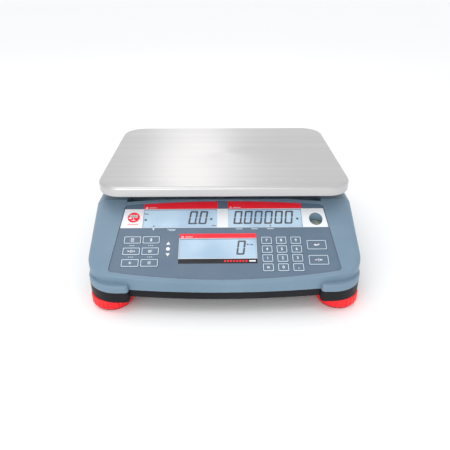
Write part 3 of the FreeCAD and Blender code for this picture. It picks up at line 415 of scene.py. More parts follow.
plasticLooks = {
    # the blue housing's lighter edges are mostly a painted highlight along the lobe rims and the front crease,
    # over a little rubbed wear
    "housing blue": dict(colour=(0.158, 0.24, 0.318), tint=(0.195, 0.283, 0.364), grain=1700,
        spread=0.1, worn=(0.46, 0.56, 0.64), wear=0.42, edge=1.5, dust=0.03, relief=0.35),
    "housing black": dict(colour=(0.012, 0.012, 0.014), tint=(0.022, 0.022, 0.025), grain=1500,
        spread=0.14, worn=(0.06, 0.06, 0.065), dust=0.01, shine=0.12, depth=0.07, relief=0.4),
    "connector black": dict(colour=(0.014, 0.014, 0.015), tint=(0.024, 0.024, 0.026), grain=2200,
        drift=0.4, roughness=0.32, spread=0.1, worn=(0.1, 0.1, 0.1), edge=0.4, dust=0.05,
        depth=0.04),
    "overlay film": dict(colour=(0.106, 0.155, 0.218), tint=(0.122, 0.174, 0.24), grain=3200,
        drift=0.7, roughness=0.36, spread=0.08, worn=(0.3, 0.36, 0.42), wear=0.2, edge=0.3,
        depth=0.02),
    "foot red": dict(colour=(0.88, 0.016, 0.022), tint=(0.94, 0.03, 0.036), grain=900, drift=0.5,
        roughness=0.38, worn=(0.95, 0.25, 0.22), wear=0.35, dust=0.03, depth=0.05),
    "foot rubber": dict(colour=(0.34, 0.02, 0.025), tint=(0.42, 0.04, 0.045), grain=1400,
        roughness=0.7, worn=(0.55, 0.2, 0.2), edge=0.4, dust=0.08, depth=0.08, relief=0.5),
    "black rubber": dict(colour=(0.016, 0.016, 0.017), tint=(0.03, 0.03, 0.032), grain=1400,
        drift=0.7, roughness=0.72, worn=(0.1, 0.1, 0.1), dust=0.1, depth=0.08, relief=0.5),
    "battery case": dict(colour=(0.02, 0.02, 0.023), tint=(0.035, 0.035, 0.038), grain=1100,
        roughness=0.5, worn=(0.12, 0.12, 0.12), dust=0.08, relief=0.4),
    "board green": dict(colour=(0.01, 0.1, 0.035), tint=(0.02, 0.16, 0.06), grain=700, drift=0.8,
        roughness=0.35, worn=(0.35, 0.3, 0.16), wear=0.4, edge=0.4, dust=0.06, depth=0.03),
    "level green": dict(colour=(0.05, 0.075, 0.06), tint=(0.1, 0.13, 0.11), grain=700,
        roughness=0.22, spread=0.06, worn=(0.3, 0.34, 0.3), wear=0.2, edge=0.4, depth=0.01,
        relief=0.2),
    "level fluid": dict(colour=(0.1, 0.17, 0.09), tint=(0.16, 0.24, 0.12), grain=300,
        roughness=0.12, spread=0.04, worn=(0.2, 0.3, 0.2), wear=0.0, edge=0.4, dust=0.0,
        depth=0.01, relief=0.1),
    "light pipe": dict(colour=(0.8, 0.82, 0.84), tint=(0.9, 0.91, 0.92), grain=900, drift=0.4,
        roughness=0.25, spread=0.08, worn=(0.95, 0.95, 0.95), wear=0.2, edge=0.3, depth=0.02,
        relief=0.2),
}

metalLooks = {
    "stainless": dict(colour=(0.52, 0.51, 0.515), tint=(0.61, 0.6, 0.6), lines=1300, stretch=0.01,
        roughness=0.34, spread=0.16, worn=(0.85, 0.85, 0.85), wear=0.35, edge=0.5,
        depth=0.02, relief=0.25, anisotropy=0.4),
    "zinc steel": dict(colour=(0.5, 0.51, 0.53), tint=(0.62, 0.62, 0.6), lines=500, stretch=0.4,
        roughness=0.38, spread=0.2, worn=(0.8, 0.8, 0.8), wear=0.4, edge=0.4, depth=0.03,
        relief=0.3),
    "cast aluminium": dict(colour=(0.55, 0.555, 0.56), tint=(0.66, 0.665, 0.67), lines=700,
        stretch=0.7, roughness=0.46, spread=0.2, worn=(0.85, 0.85, 0.86), wear=0.5, edge=0.6,
        depth=0.06, relief=0.5),
    "turned brass": dict(colour=(0.56, 0.4, 0.17), tint=(0.68, 0.5, 0.24), lines=800, stretch=0.6,
        roughness=0.32, spread=0.15, worn=(0.85, 0.7, 0.4), wear=0.4, edge=0.4, depth=0.03,
        relief=0.3),
}

# thin cover, thick cover, roughness
inkLooks = {
    "white ink": ((0.8, 0.83, 0.86), (0.85, 0.87, 0.9), 0.4),
    "line ink": ((0.62, 0.74, 0.85), (0.72, 0.82, 0.9), 0.4),
    "red ink": ((0.95, 0.016, 0.034), (0.98, 0.03, 0.05), 0.36),
    "black ink": ((0.008, 0.008, 0.012), (0.018, 0.018, 0.024), 0.34),
    "segment ink": ((0.004, 0.008, 0.02), (0.01, 0.016, 0.035), 0.45),
}


def printedInk(name):
    # screen-printed ink: a little uneven in cover, and a faint orange peel
    thin, thick, roughness = inkLooks[name]
    return mouldedPlastic(name, {
        "colour": thin, "tint": thick, "grain": 2600, "drift": 0.8, "roughness": roughness,
        "spread": 0.06, "worn": thick, "wear": 0.0, "edge": 0.2, "depth": 0.01,
        "relief": 0.2})


displayLook = dict(cool=(0.3, 0.5, 0.76), bright=(0.56, 0.76, 0.94), base=(0.14, 0.2, 0.25),
    lift=1.15, glow=0.56, cloud=22.0, cloudEnds=(0.32, 0.68), roughness=0.3)


def displayGlass():
    # backlit module: soft uneven glow under a smooth face
    look = named(displayLook)
    material, tree, shader = newMaterial("display glass")
    cloud = noise(tree, objectPlace(tree), Scale=look.cloud, Detail=1.0)
    share = rangeNode(tree, cloud, look.cloudEnds)
    lifted = [value * look.lift for value in look.base]
    plugAll(tree, shader, {
        "Emission Color": mixColour(tree, share, opaque(look.cool),
                                    opaque(look.bright)),
        "Base Color": mixColour(tree, share, opaque(look.base), opaque(lifted)),
        "Emission Strength": look.glow, "Roughness": look.roughness})
    return material


# colour, share of light that is stopped, roughness
clearLook = {"window clear": ((0.9, 0.95, 1.0), 0.05, 0.06),
             "vial clear": ((0.75, 0.85, 0.8), 0.16, 0.04)}
hazeLook = dict(scale=300.0, ends=(0.2, 0.8), cover=(0.8, 1.2), rougher=2)


def clearPlastic(name):
    # thin clear part: mostly see-through, with fine haze that changes over the face
    look = named(hazeLook)
    colour, cover, roughness = clearLook[name]
    material, tree, shader = newMaterial(name)
    haze = noise(tree, objectPlace(tree), Scale=look.scale, Detail=3.0)
    least, most = (cover * share for share in look.cover)
    plugAll(tree, shader, {
        "Base Color": mixColour(tree, haze, opaque(colour), (1, 1, 1, 1)),
        "Alpha": rangeNode(tree, haze, look.ends, least, most),
        "Roughness": rangeNode(tree, haze, look.ends, roughness,
                               roughness * look.rougher)})
    return material


finishes = {name: mouldedPlastic(name, look) for name, look in plasticLooks.items()}
finishes.update({name: brushedMetal(name, look) for name, look in metalLooks.items()})
finishes.update({name: printedInk(name) for name in inkLooks})
finishes.update({name: clearPlastic(name) for name in clearLook})
finishes["display glass"] = displayGlass()

# a slot of the record gets the finish of its own name, but for these
slotFinish = {"key_film": "overlay film", "lcd_glass": "display glass",
              "light_white": "light pipe", "level_clear": "vial clear",
              "brass_nut": "turned brass"}


def dressNodes():
    for row in frame["record"]["subparts"]:
        slot = row["material_slot"]
        material = finishes[slotFinish.get(slot, slot.replace("_", " "))]
        for place in cadNodes[row["node"]].material_slots:
            place.material = material


dressNodes()
print("finishes made:", len(finishes))


# ---- mesh helpers

def placePiece(name, mesh, material, body="base", stands=None):
    # stands is the CAD node that the piece takes the place of
    mesh.materials.append(finishes[material])
    piece = addObject(name, mesh)
    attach(piece, body)
    if stands:
        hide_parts(stands)


weldReach = 0.000001
latheSteps = 96


def finishMesh(name, shape):
    bmesh.ops.remove_doubles(shape, verts=shape.verts, dist=weldReach)
    bmesh.ops.recalc_face_normals(shape, faces=shape.faces)
    mesh = bpy.data.meshes.new(name)
    shape.to_mesh(mesh)
    shape.free()
    return mesh


def ringPiece(name, rings, sharp, finish, body="base", stands=None,
              closed=False):
    # skins between rings of equal length, with the last joined to the first when closed, and
    # capped when not; edges over the angle sharp stay sharp
    shape = bmesh.new()
    rows = [[shape.verts.new(point) for point in ring] for ring in rings]
    count = len(rows[0])
    for lower, upper in zip(rows, rows[1:] + rows[:1] if closed else rows[1:]):
        for index in range(count):
            after = (index + 1) % count
            shape.faces.new((lower[index], lower[after], upper[after], upper[index]))
    if not closed:
        shape.faces.new(rows[0][::-1])
        shape.faces.new(rows[-1])
    mesh = finishMesh(name, shape)
    if sharp:
        mesh.shade_smooth()
        mesh.set_sharp_from_angle(angle=math.radians(sharp))
    placePiece(name, mesh, finish, body, stands)


def lathePiece(name, profile, centre, sharp, finish, body="base", stands=None,
               closed=False):
    # profile: (radius, height) in mm, turned about an upright axis
    rings = []
    for reach, height in profile:
        radius, ring = reach * mm, []
        for step in range(latheSteps):
            turn = math.tau * step / latheSteps
            ring.append(Vector((centre.x + radius * math.cos(turn),
                                centre.y + radius * math.sin(turn), height * mm)))
        rings.append(ring)
    ringPiece(name, rings, sharp, finish, body, stands, closed)


def arcPoints(centre, radius, start, end, steps):
    # points on an arc, angles in degrees, both ends included
    points = []
    for step in range(steps + 1):
        turn = math.radians(start + (end - start) * step / steps)
        points.append((centre[0] + radius * math.cos(turn), centre[1] + radius * math.sin(turn)))
    return points


def roundedBox(halfX, halfY, radius, steps=10):
    loop = []
    for sideX, sideY, start in ((1, 1, 0), (-1, 1, 90), (-1, -1, 180), (1, -1, 270)):
        centre = (sideX * (halfX - radius), sideY * (halfY - radius))
        loop += arcPoints(centre, radius, start, start + 90, steps)
    return loop


def shifted(loop, across, along):
    return [(x + across, y + along) for x, y in loop]


def moved(loops, across, along):
    return [shifted(loop, across, along) for loop in loops]


def disc(across, along, radius, steps=40, squeeze=1.0):
    return [(across + radius * math.cos(math.tau * step / steps),
             along + radius * squeeze * math.sin(math.tau * step / steps))
            for step in range(steps)]


def bar(left, low, right, high):
    return [(left, low), (right, low), (right, high), (left, high)]


def panelSolid(name, curve, across, along, middle):
    # the mesh of a flat curve, set on the panel; middle is its height off the film
    holder = addObject(name, curve)
    bpy.context.view_layer.update()
    solid = bpy.data.meshes.new_from_object(
        holder.evaluated_get(bpy.context.evaluated_depsgraph_get()))
    bpy.data.objects.remove(holder)
    bpy.data.curves.remove(curve)
    solid.transform(Matrix.Translation((across, along, middle)))
    solid.transform(panel)
    shape = bmesh.new()
    shape.from_mesh(solid)
    bpy.data.meshes.remove(solid)
    return finishMesh(name, shape)


# ink stands from low to high, in mm from the face that it is printed on
inkLayer = {"low": -0.02, "high": 0.04}


def printOn(name, loops, ink="white ink", body="base", face=0.0):
    # a loop inside another one is a hole
    curve = bpy.data.curves.new(name, "CURVE")
    curve.dimensions = "2D"
    curve.fill_mode = "BOTH"
    low, high = face + inkLayer["low"], face + inkLayer["high"]
    curve.extrude = (high - low) / 2
    for loop in loops:
        spline = curve.splines.new("POLY")
        spline.points.add(len(loop) - 1)
        for point, (x, y) in zip(spline.points, loop):
            point.co = (x, y, 0, 1)
        spline.use_cyclic_u = True
    placePiece(name, panelSolid(name, curve, 0, 0, (low + high) / 2), ink, body)


# ---- weighing pan

panLook = dict(sheet=0.8, corner=30, leastCorner=4, edge=3.2, hem=1.3, hemRise=0.5, crownInset=1.0,
    flatInset=18, cornerSteps=24, bendSteps=8, innerSteps=6, sharp=40)


def makePan():
    look = named(panLook)
    low, high, centre = boxOf("pan")
    halfX, halfY = (high.x - low.x) / 2 / mm, (high.y - low.y) / 2 / mm
    top, bottom = high.z / mm, low.z / mm
    edge, sheet, hem = look.edge, look.sheet, look.hem
    inner, bends, flat = edge - sheet, look.bendSteps, look.flatInset
    # (inset from the outline, height): over the top, down the rim, round the hem, back inside
    profile = [(flat, top), (edge + look.crownInset, top)]
    profile += [(edge - x, z) for x, z in arcPoints((0, top - edge), edge, 90, 0, bends)]
    profile.append((0, bottom + hem))
    profile += [(hem / 2 - x, z)
                for x, z in arcPoints((0, bottom + hem / 2), hem / 2, 0, -180, bends)]
    profile += [(hem, bottom + hem), (sheet, bottom + hem + look.hemRise)]
    profile += [(sheet + inner - x, z)
                for x, z in arcPoints((0, top - edge), inner, 0, 90, look.innerSteps)]
    profile.append((flat, top - sheet))
    rings = []
    for inset, height in profile:
        radius = max(look.corner - inset, look.leastCorner)
        loop = roundedBox(halfX - inset, halfY - inset, radius, look.cornerSteps)
        rings.append([Vector((centre.x + x * mm, centre.y + y * mm, height * mm))
                      for x, y in loop])
    ringPiece("pan_sheet", rings, look.sharp, "stainless", bodyOf["pan"],
              "pan")


makePan()
print("pan made")


# ---- levelling feet

wheelLook = dict(flutes=26, fluteDepth=0.85, fluteSteps=12, flutePower=0.7, topRound=1.6,
    lowRound=3.0, roundSteps=6, lowFlat=1, topFlat=0.5, shoulder=2, stud=4, pivot=5, hubGap=0.1,
    hexagon=7.7, hexLow=4.0, hexHigh=9.6, dish=10, dishFoot=9.4, dishDrop=0.6, collar=0.6,
    collarDrop=1.0, sharp=50)


def makeWheel(place):
    node = "foot_wheel_" + place
    low, high, centre = boxOf(node)
    radius = (high.x - low.x) / 2 / mm
    bottom, top = low.z / mm, high.z / mm
    look = named(wheelLook)
    stud, pivot = look.stud + look.hubGap, look.pivot + look.hubGap
    topRound, lowRound, bends = look.topRound, look.lowRound, look.roundSteps
    dishFloor, hexagon = top - look.dishDrop, look.hexagon
    hexLow, hexHigh = bottom + look.hexLow, bottom + look.hexHigh
    # (radius, height, share of the flute depth)
    profile = [(pivot, bottom, 0), (radius - lowRound - look.shoulder, bottom, 0)]
    profile += [(x, z, step / bends) for step, (x, z) in enumerate(
        arcPoints((radius - lowRound, bottom + lowRound), lowRound, -90, 0, bends))]
    profile += [(radius, bottom + lowRound + look.lowFlat, 1),
                (radius, top - topRound - look.topFlat, 1)]
    profile += [(x, z, 1 - step / bends) for step, (x, z) in enumerate(
        arcPoints((radius - topRound, top - topRound), topRound, 0, 90, bends))]
    profile += [(radius - topRound - look.shoulder, top, 0), (look.dish, top, 0),
                (look.dishFoot, dishFloor, 0), (stud + look.collar, dishFloor, 0),
                (stud, top - look.collarDrop, 0), (stud, hexHigh, 0), (hexagon, hexHigh, 0),
                (hexagon, hexLow, 0), (pivot, hexLow, 0)]
    steps = look.flutes * look.fluteSteps
    rings = []
    for reach, height, share in profile:
        ring = []
        for step in range(steps):
            turn = math.tau * step / steps
            wave = abs(math.cos(turn * look.flutes / 2)) ** look.flutePower
            cut = look.fluteDepth * share * (1 - wave)
            ring.append(Vector((centre.x + (reach - cut) * math.cos(turn) * mm,
                                centre.y + (reach - cut) * math.sin(turn) * mm, height * mm)))
        rings.append(ring)
    ringPiece("wheel_" + place, rings, look.sharp, "foot red", bodyOf[node], node,
              closed=True)


# the sole has a dimple and round grooves; each groove's places are counted from its ring
padLook = dict(core=0.5, hollow=0.5, dimple=(3, 4), rings=(7.5, 11, 14.5),
    groovePlaces=(0.0, 0.4, 1.0, 1.4), flange=2.0, round=0.7, roundSteps=5, neckFoot=6.2,
    neckTurn=5.2, neck=5.0, neckRises=(0.6, 1.2), neckBevel=0.5, sharp=40)


def makeFootPad(place):
    node = "foot_pad_" + place
    low, high, centre = boxOf(node)
    radius = (high.x - low.x) / 2 / mm
    look = named(padLook)
    top, tip = low.z / mm + look.flange, high.z / mm
    bend, core, hollow, neck = look.round, look.core, look.hollow, look.neck
    rises, bends = look.neckRises, look.roundSteps
    profile = [(core, hollow), (look.dimple[0], hollow), (look.dimple[1], 0.0)]
    profile += [(ring + reach, depth) for ring in look.rings
                for reach, depth in zip(look.groovePlaces, (0.0, hollow, hollow, 0.0))]
    profile += arcPoints((radius - bend, bend), bend, -90, 0, bends)
    profile += arcPoints((radius - bend, top - bend), bend, 0, 90, bends)
    profile += [(look.neckFoot, top), (look.neckTurn, top + rises[0]),
                (neck, top + rises[1]), (neck, tip - look.neckBevel),
                (neck - look.neckBevel, tip), (core, tip)]
    lathePiece("pad_" + place, profile, centre, look.sharp, "foot rubber", bodyOf[node],
               node)


for corner in ("front_left", "front_right", "rear_left", "rear_right"):
    makeWheel(corner)
    makeFootPad(corner)
print("feet made")


# ---- mains inlet: plated pins over the moulded cores

pinLook = dict(across=7, drop=1.5, rise=3, halfWidth=1.06, halfHeight=2.06, corner=0.5,
    leastCorner=0.1, cornerSteps=4, mouthGap=4.9, length=9.6, nose=0.7, noseTurn=0.3, noseTip=0.75,
    sharp=40)


def makePins():
    look = named(pinLook)
    low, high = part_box("ac_inlet")
    centreX, centreZ = (low.x + high.x) / 2 / mm, (low.z + high.z) / 2 / mm
    tip = high.y / mm - look.mouthGap
    root, nose = tip - look.length, look.nose
    turn = nose * look.noseTurn
    places = ((-look.across, -look.drop), (look.across, -look.drop), (0, look.rise))
    for index, (across, height) in enumerate(places, start=1):
        rings = []
        for inset, along in ((0, root), (0, tip - nose), (turn, tip - turn),
                             (nose * look.noseTip, tip)):
            loop = roundedBox(look.halfWidth - inset, look.halfHeight - inset,
                              max(look.corner - inset, look.leastCorner), look.cornerSteps)
            rings.append([Vector((centreX + across + x, along, centreZ + height + z)) * mm
                          for x, z in loop])
        ringPiece(f"inlet_pin_{index}", rings, look.sharp, "zinc steel")


makePins()
print("inlet pins made")


# ---- small flat shapes, in mm

def triangle(width, height, across, along):
    # points up, or down when the height is negative
    sign = 1 if height > 0 else -1
    return shifted([(-width / 2 * sign, -height / 2), (width / 2 * sign, -height / 2),
                    (0, height / 2)], across, along)


def pointer(width, height, across, along=0.0):
    # points right, or left when the width is negative
    return shifted([(-width / 2, -height / 2), (width / 2, 0), (-width / 2, height / 2)],
                   across, along)


def block(width, height, across=0.0, along=0.0):
    return bar(across - width / 2, along - height / 2, across + width / 2, along + height / 2)


def turned(loop, angle):
    c, s = math.cos(math.radians(angle)), math.sin(math.radians(angle))
    return [(x * c - y * s, x * s + y * c) for x, y in loop]


frameLook = dict(leastCorner=0.12, steps=5)


def frameLoops(width, height, line, radius):
    steps, inner = frameLook["steps"], max(radius - line, frameLook["leastCorner"])
    return [roundedBox(width / 2, height / 2, radius, steps),
            roundedBox(width / 2 - line, height / 2 - line, inner, steps)]


def iconLoops(kind):
    # plain signs in place of wording
    plus = [(-0.3, -1.8), (0.3, -1.8), (0.3, -0.3), (1.8, -0.3), (1.8, 0.3), (0.3, 0.3),
            (0.3, 1.8), (-0.3, 1.8), (-0.3, 0.3), (-1.8, 0.3), (-1.8, -0.3), (-0.3, -0.3)]
    return {
        "sheet": frameLoops(3.4, 4.4, 0.45, 0.5) + [block(1.7, 0.45, 0, 0.8),
                                                    block(1.7, 0.45, 0, -0.4)],
        "updown": [triangle(3.0, 2.0, 0, 1.4), triangle(3.0, -2.0, 0, -1.4)],
        "zeroing": [disc(0, 0, 1.6), disc(0, 0, 1.05), pointer(1.7, 2.4, -3.1),
                    pointer(-1.7, 2.4, 3.1)],
        "swap": [block(3.4, 0.5, -0.6, 0.9), pointer(1.5, 1.9, 1.8, 0.9),
                 block(3.4, 0.5, 0.6, -0.9), pointer(-1.5, 1.9, -1.8, -0.9)],
        "plus": [plus],
        "list": [block(3.6, 0.5, 0, along) for along in (-1.3, 0, 1.3)],
        "cross": [turned(plus, 45)],
        "point": [disc(0, -1.2, 0.6)],
        "return": [[(-1.7, -0.35), (2.9, -0.35), (2.9, 1.9), (2.3, 1.9), (2.3, 0.35),
                    (-1.7, 0.35)], pointer(-2.2, 2.9, -2.4)],
        "netting": [block(0.6, 3.8), block(2.2, 0.6, -3.2, 0), pointer(1.6, 2.4, -1.5),
                    block(2.2, 0.6, 3.2, 0), pointer(-1.6, 2.4, 1.5)],
        "weight": [[(-1.5, -1.2), (1.5, -1.2), (1.0, 0.5), (-1.0, 0.5)], disc(0, 0.85, 0.7, 20),
                   disc(0, 0.85, 0.32, 20)],
        "single": frameLoops(2.3, 2.3, 0.4, 0.3) + [block(0.7, 0.7)],
        "several": [block(0.95, 0.95, x, y) for x in (-0.75, 0.75) for y in (-0.75, 0.75)],
    }[kind]


# bolder is how much the strokes are thickened, as a share of the figure's height
typeLook = dict(bolder=0.012, fineness=6)


def lettering(name, text, height, across, along, face, ink, body):
    # a figure set in the plain built-in type
    curve = bpy.data.curves.new(name, "FONT")
    curve.body = text
    curve.size = height
    curve.align_x = "CENTER"
    curve.align_y = "CENTER"
    curve.extrude = (inkLayer["high"] - inkLayer["low"]) / 2
    curve.offset = height * typeLook["bolder"]
    curve.resolution_u = typeLook["fineness"]
    middle = face + (inkLayer["high"] + inkLayer["low"]) / 2
    placePiece(name, panelSolid(name, curve, across, along, middle), ink, body)


# ---- keys

keyLook = dict(corner=1.1, soften=0.35, plate=2.7, bevel=0.3, stem=2.0, stemRound=0.98,
    tipRound=0.8, neck=0.2, steps=6, softSteps=5, lineInset=0.2, line=0.62, lineRound=0.7,
    figure=4.9, sharp=40)
keySigns = {"key_clear": "cross", "key_point": "point", "key_enter": "return",
            "key_tare": "netting", "key_function_1": "sheet", "key_function_2": "updown",
            "key_function_3": "zeroing", "key_function_4": "swap", "key_function_5": "plus",
            "key_function_6": "list"}


def makeKey(node):
    low, high = extent(node)
    centre = (low + high) / 2
    halfX, halfY = (high.x - low.x) / 2, (high.y - low.y) / 2
    look = named(keyLook)
    soften, corner, bevel, stem = look.soften, look.corner, look.bevel, look.stem
    under = high.z - look.plate
    rings = []

    def addRing(reachX, reachY, radius, height):
        rings.append([panel @ Vector((centre.x + x, centre.y + y, height))
                      for x, y in roundedBox(reachX, reachY, radius, look.steps)])

    def addInset(inset, height):
        addRing(halfX - inset, halfY - inset, corner - inset, height)

    addRing(stem - bevel, stem - bevel, stem * look.tipRound, low.z)
    addRing(stem, stem, stem * look.stemRound, low.z + bevel)
    addRing(stem, stem, stem * look.stemRound, under - look.neck)
    addRing(stem + bevel, stem + bevel, stem, under)
    addInset(bevel, under)
    addInset(0, under + bevel)
    for inset, height in arcPoints((soften, high.z - soften), soften, 180, 90,
                                   look.softSteps):
        addInset(inset, height)
    addInset(soften + bevel, high.z)
    body = bodyOf[node]
    ringPiece(node + "_cap", rings, look.sharp, "overlay film", body, node)
    line = frameLoops(2 * (halfX - look.lineInset), 2 * (halfY - look.lineInset),
                      look.line, corner * look.lineRound)
    printOn(node + "_line", moved(line, centre.x, centre.y), "line ink", body, high.z)
    if node in keySigns:
        loops = moved(iconLoops(keySigns[node]), centre.x, centre.y)
        printOn(node + "_sign", loops, "white ink", body, high.z)
    else:
        lettering(node + "_figure", node[-1], look.figure, centre.x, centre.y, high.z,
                  "white ink", body)


for keyNode in sorted(name for name in cadNodes if name.startswith("key_")):
    makeKey(keyNode)
print("keys made")


# ---- printing on the film

# displayBorder is the display module's frame round its opening
printLook = dict(displayBorder=3.2, bandBelow=0.3, bandAbove=0.7, line=0.5, lowerHeader=6.3,
    stripHeight=6.2, wellRadius=7.6, wellGap=0.35, archSteps=16)

printing = named(printLook)


def opening(node):
    low, high = extent(node)
    border = printing.displayBorder
    return (low.x + border, low.y + border, high.x - border, high.y - border)


def filmSide(along):
    share = (film.rearCorner - along) / (film.rearCorner - film.frontCorner)
    return film.rearHalf + (film.frontHalf - film.rearHalf) * share - film.margin


def filmRear(across):
    sag = (film.rearReach - film.rearCorner) * (across / film.rearHalf) ** 2
    return film.rearReach - sag - film.margin


def archedHeader(left, right, low):
    steps = printing.archSteps
    places = [right + (left - right) * step / steps for step in range(steps + 1)]
    return [(left, low), (right, low)] + [(across, filmRear(across)) for across in places]


def levelWell():
    # where the level's upright axis meets the film
    centre = boxOf("level_vial")[2]
    start, end = (panelInverse @ Vector((centre.x, centre.y, height)) for height in (0, 0.2))
    return start + (end - start) * start.z / (start.z - end.z)


weightOpening = opening("lcd_weight")
unitOpening = opening("lcd_unit_weight")
countOpening = opening("lcd_count")


def printBand():
    low = weightOpening[1] - printing.bandBelow
    high = weightOpening[3] + printing.bandAbove
    well = levelWell()
    outline = [(-filmSide(low), low), (filmSide(low), low), (filmSide(high), high),
               (-filmSide(high), high)]
    hole = disc(well.x, well.y, printing.wellRadius + printing.wellGap, 48,
                1 / panelOut.z)
    printOn("band_white", [outline, bar(*weightOpening), bar(*unitOpening), hole])
    line = printing.line
    for name, place in (("header_weight", weightOpening), ("header_unit", unitOpening)):
        printOn(name, [archedHeader(place[0] - line, place[2] + line, high)], "red ink")
    left, bottom, right, top = countOpening
    ring = bar(left - line, bottom - line, right + line, top + line)
    printOn("frame_count", [ring, bar(*countOpening)])
    printOn("header_count", [bar(left - line, top + line, right + line,
                                 top + line + printing.lowerHeader)], "red ink")
    printOn("strip_count", [bar(left - line, bottom - line - printing.stripHeight,
                                right + line, bottom - line)], "black ink")


signLook = dict(iconIn=3.2, iconUp=1.9, ruleIn=6.0, ruleLong=9.0, rule=0.55, layer=0.04)


def printHeaderSigns():
    # a small sign and a rule at the left of each red header, on top of the red
    look = named(signLook)
    high = weightOpening[3] + printing.bandAbove
    countTop = countOpening[3] + printing.line
    for name, kind, left, base in (("sign_weight", "weight", weightOpening[0], high),
                                   ("sign_unit", "single", unitOpening[0], high),
                                   ("sign_count", "several", countOpening[0], countTop)):
        start, middle, half = left + look.ruleIn, base + look.iconUp, look.rule / 2
        loops = moved(iconLoops(kind), left + look.iconIn, middle)
        loops.append(bar(start, middle - half, start + look.ruleLong, middle + half))
        printOn(name, loops, face=look.layer)


# the chevrons and the tab are placed from the count display's right edge
stripLook = dict(chevrons=8, chevronIn=37, pitch=3.4, half=1.1, width=2.0, lean=0.8, tabIn=8.6,
    tabLong=7.2, tabHalf=0.9)


def printStrip():
    look, layer = named(stripLook), signLook["layer"]
    half, width, lean, right = look.half, look.width, look.lean, countOpening[2]
    middle = countOpening[1] - printing.line - printing.stripHeight / 2
    chevrons = []
    for step in range(look.chevrons):
        start = right - look.chevronIn + look.pitch * step
        chevrons.append([(start, middle - half), (start + width, middle - half),
                         (start + (width + lean), middle + half), (start + lean, middle + half)])
    printOn("strip_chevrons", chevrons, "red ink", face=layer)
    start = right - look.tabIn
    printOn("strip_tab", [bar(start, middle - look.tabHalf, start + look.tabLong,
                              middle + look.tabHalf)], face=layer)


# a block is its width, height, and place across and along from the disc's centre
badgeLook = dict(across=-107.6, along=27.4, radius=7.2, rule=(12.5, 0.8, 0, -10.2),
    post=(0.8, 8.0, 0, 0.2), foot=(4.4, 0.8, 0, -4.1), beam=(9.0, 0.7, 0, 3.2), arm=4.1,
    cord=(0.45, 3.2), cordUp=1.4, dish=2.0, dishDrop=0.4, dishRim=0.3)


def printBadge():
    # a plain red disc with a balance on it
    look, layer = named(badgeLook), signLook["layer"]
    across, along, dish, rim = look.across, look.along, look.dish, look.dishRim
    printOn("badge_disc", [disc(across, along, look.radius, 64)], "red ink", face=layer)
    loops = [block(*look.post), block(*look.foot), block(*look.beam)]
    bowl = [(-dish, rim), (dish, rim)] + arcPoints((0, rim), dish, 0, -180, 10)[1:-1]
    for arm in (-look.arm, look.arm):
        loops += [block(*look.cord, arm, look.cordUp),
                  [(arm + x, y - look.dishDrop) for x, y in bowl]]
    printOn("badge_balance", moved(loops, across, along), face=2 * layer)
    printOn("badge_rule", [shifted(block(*look.rule), across, along)], "red ink", face=layer)


# a rule is its width, height and place across, and how far it is under the white band
markLook = dict(across=-64.5, along=-16.3, step=7.7, arrow=(4.6, 4.0), dot=2.2,
    rules=((9.5, 0.6, -62, 2.2), (7.0, 0.6, -61, 3.8), (7.5, 0.7, 17, 2.0),
           (7.5, 0.7, 35, 2.0), (7.5, 0.7, 53.5, 2.0)),
    pointer=(2.4, 3.0), pointerPlace=(-83, 2.2), dash=(1.3, 0.7), dashDrop=2.6,
    dashPlaces=(-2.1, 0, 2.1))


def printMarks():
    look = named(markLook)
    across, along, step = look.across, look.along, look.step
    width, height = look.arrow
    printOn("light_up", [triangle(width, height, across, along + step)])
    printOn("light_middle", [disc(across, along, look.dot)])
    printOn("light_down", [triangle(width, -height, across, along - step)])
    # rules and a pointer under the upper displays
    low = weightOpening[1] - printing.bandBelow
    printOn("rules_upper", [block(width, height, place, low - drop)
                            for width, height, place, drop in look.rules], "line ink")
    width, height = look.pointer
    place, drop = look.pointerPlace
    printOn("pointer_upper", [triangle(width, -height, place, low - drop)])
    # three short dashes under the first two rows of the left block
    dashes = []
    for index in range(1, 5):
        keyLow, keyHigh = extent(f"key_function_{index}")
        middle = (keyLow + keyHigh) / 2
        dashes += [block(*look.dash, middle.x + shift, keyLow.y - look.dashDrop)
                   for shift in look.dashPlaces]
    printOn("dashes_left", dashes, "line ink")


printBand()
printHeaderSigns()
printStrip()
printBadge()
printMarks()
print("panel printed")


# ---- display figures

# parallax is how far up the figures look to be, being below the window
figureLook = dict(height=19.0, width=9.4, stroke=2.1, split=0.45, slant=8.0, bevel=1.0,
    innerBevel=0.5, pitch=12.1, point=1.05, pointGap=0.5, pointIn=0.4, parallax=0.65)


def zeroLoops(across, low):
    # a nought of the seven-bar kind: two bent strokes that part at mid height
    height, width, stroke, split, bevel = (
        figureLook[key] for key in ("height", "width", "stroke", "split", "bevel"))
    half = height / 2
    inner = bevel * figureLook["innerBevel"]
    upper = [(0, split), (0, half - bevel), (bevel, half), (width - bevel, half),
             (width, half - bevel), (width, split), (width - stroke / 2, split / 2),
             (width - stroke, split), (width - stroke, half - stroke - inner),
             (width - stroke - inner, half - stroke), (stroke + inner, half - stroke),
             (stroke, half - stroke - inner), (stroke, split), (stroke / 2, split / 2)]
    lean = math.tan(math.radians(figureLook["slant"]))
    return [[(across + x + (half + sign * y) * lean, low + half + sign * y) for x, y in upper]
            for sign in (1, -1)]


def makeFigures(name, node, figures, left, low, marks):
    look = named(figureLook)
    low += look.parallax
    loops = []
    for figure in figures:
        if figure == ".":
            start = left - look.pitch + look.width + look.pointGap
            loops.append(disc(start + look.pointIn, low + look.point, look.point, 16))
        else:
            loops += zeroLoops(left, low)
            left += look.pitch
    printOn(name, loops + marks, "segment ink", face=extent(node)[1].z)


# beside the figures: a lamp, a flag, and blocks given by width, height, across and along
markShapes = dict(lamp=1.5, flag=(2.6, -2.4), upperRise=4.7, countRise=4.4)


def lampMark(across, along):
    return disc(across, along, markShapes["lamp"], 24)


def flagMark(across, along):
    return triangle(*markShapes["flag"], across, along)


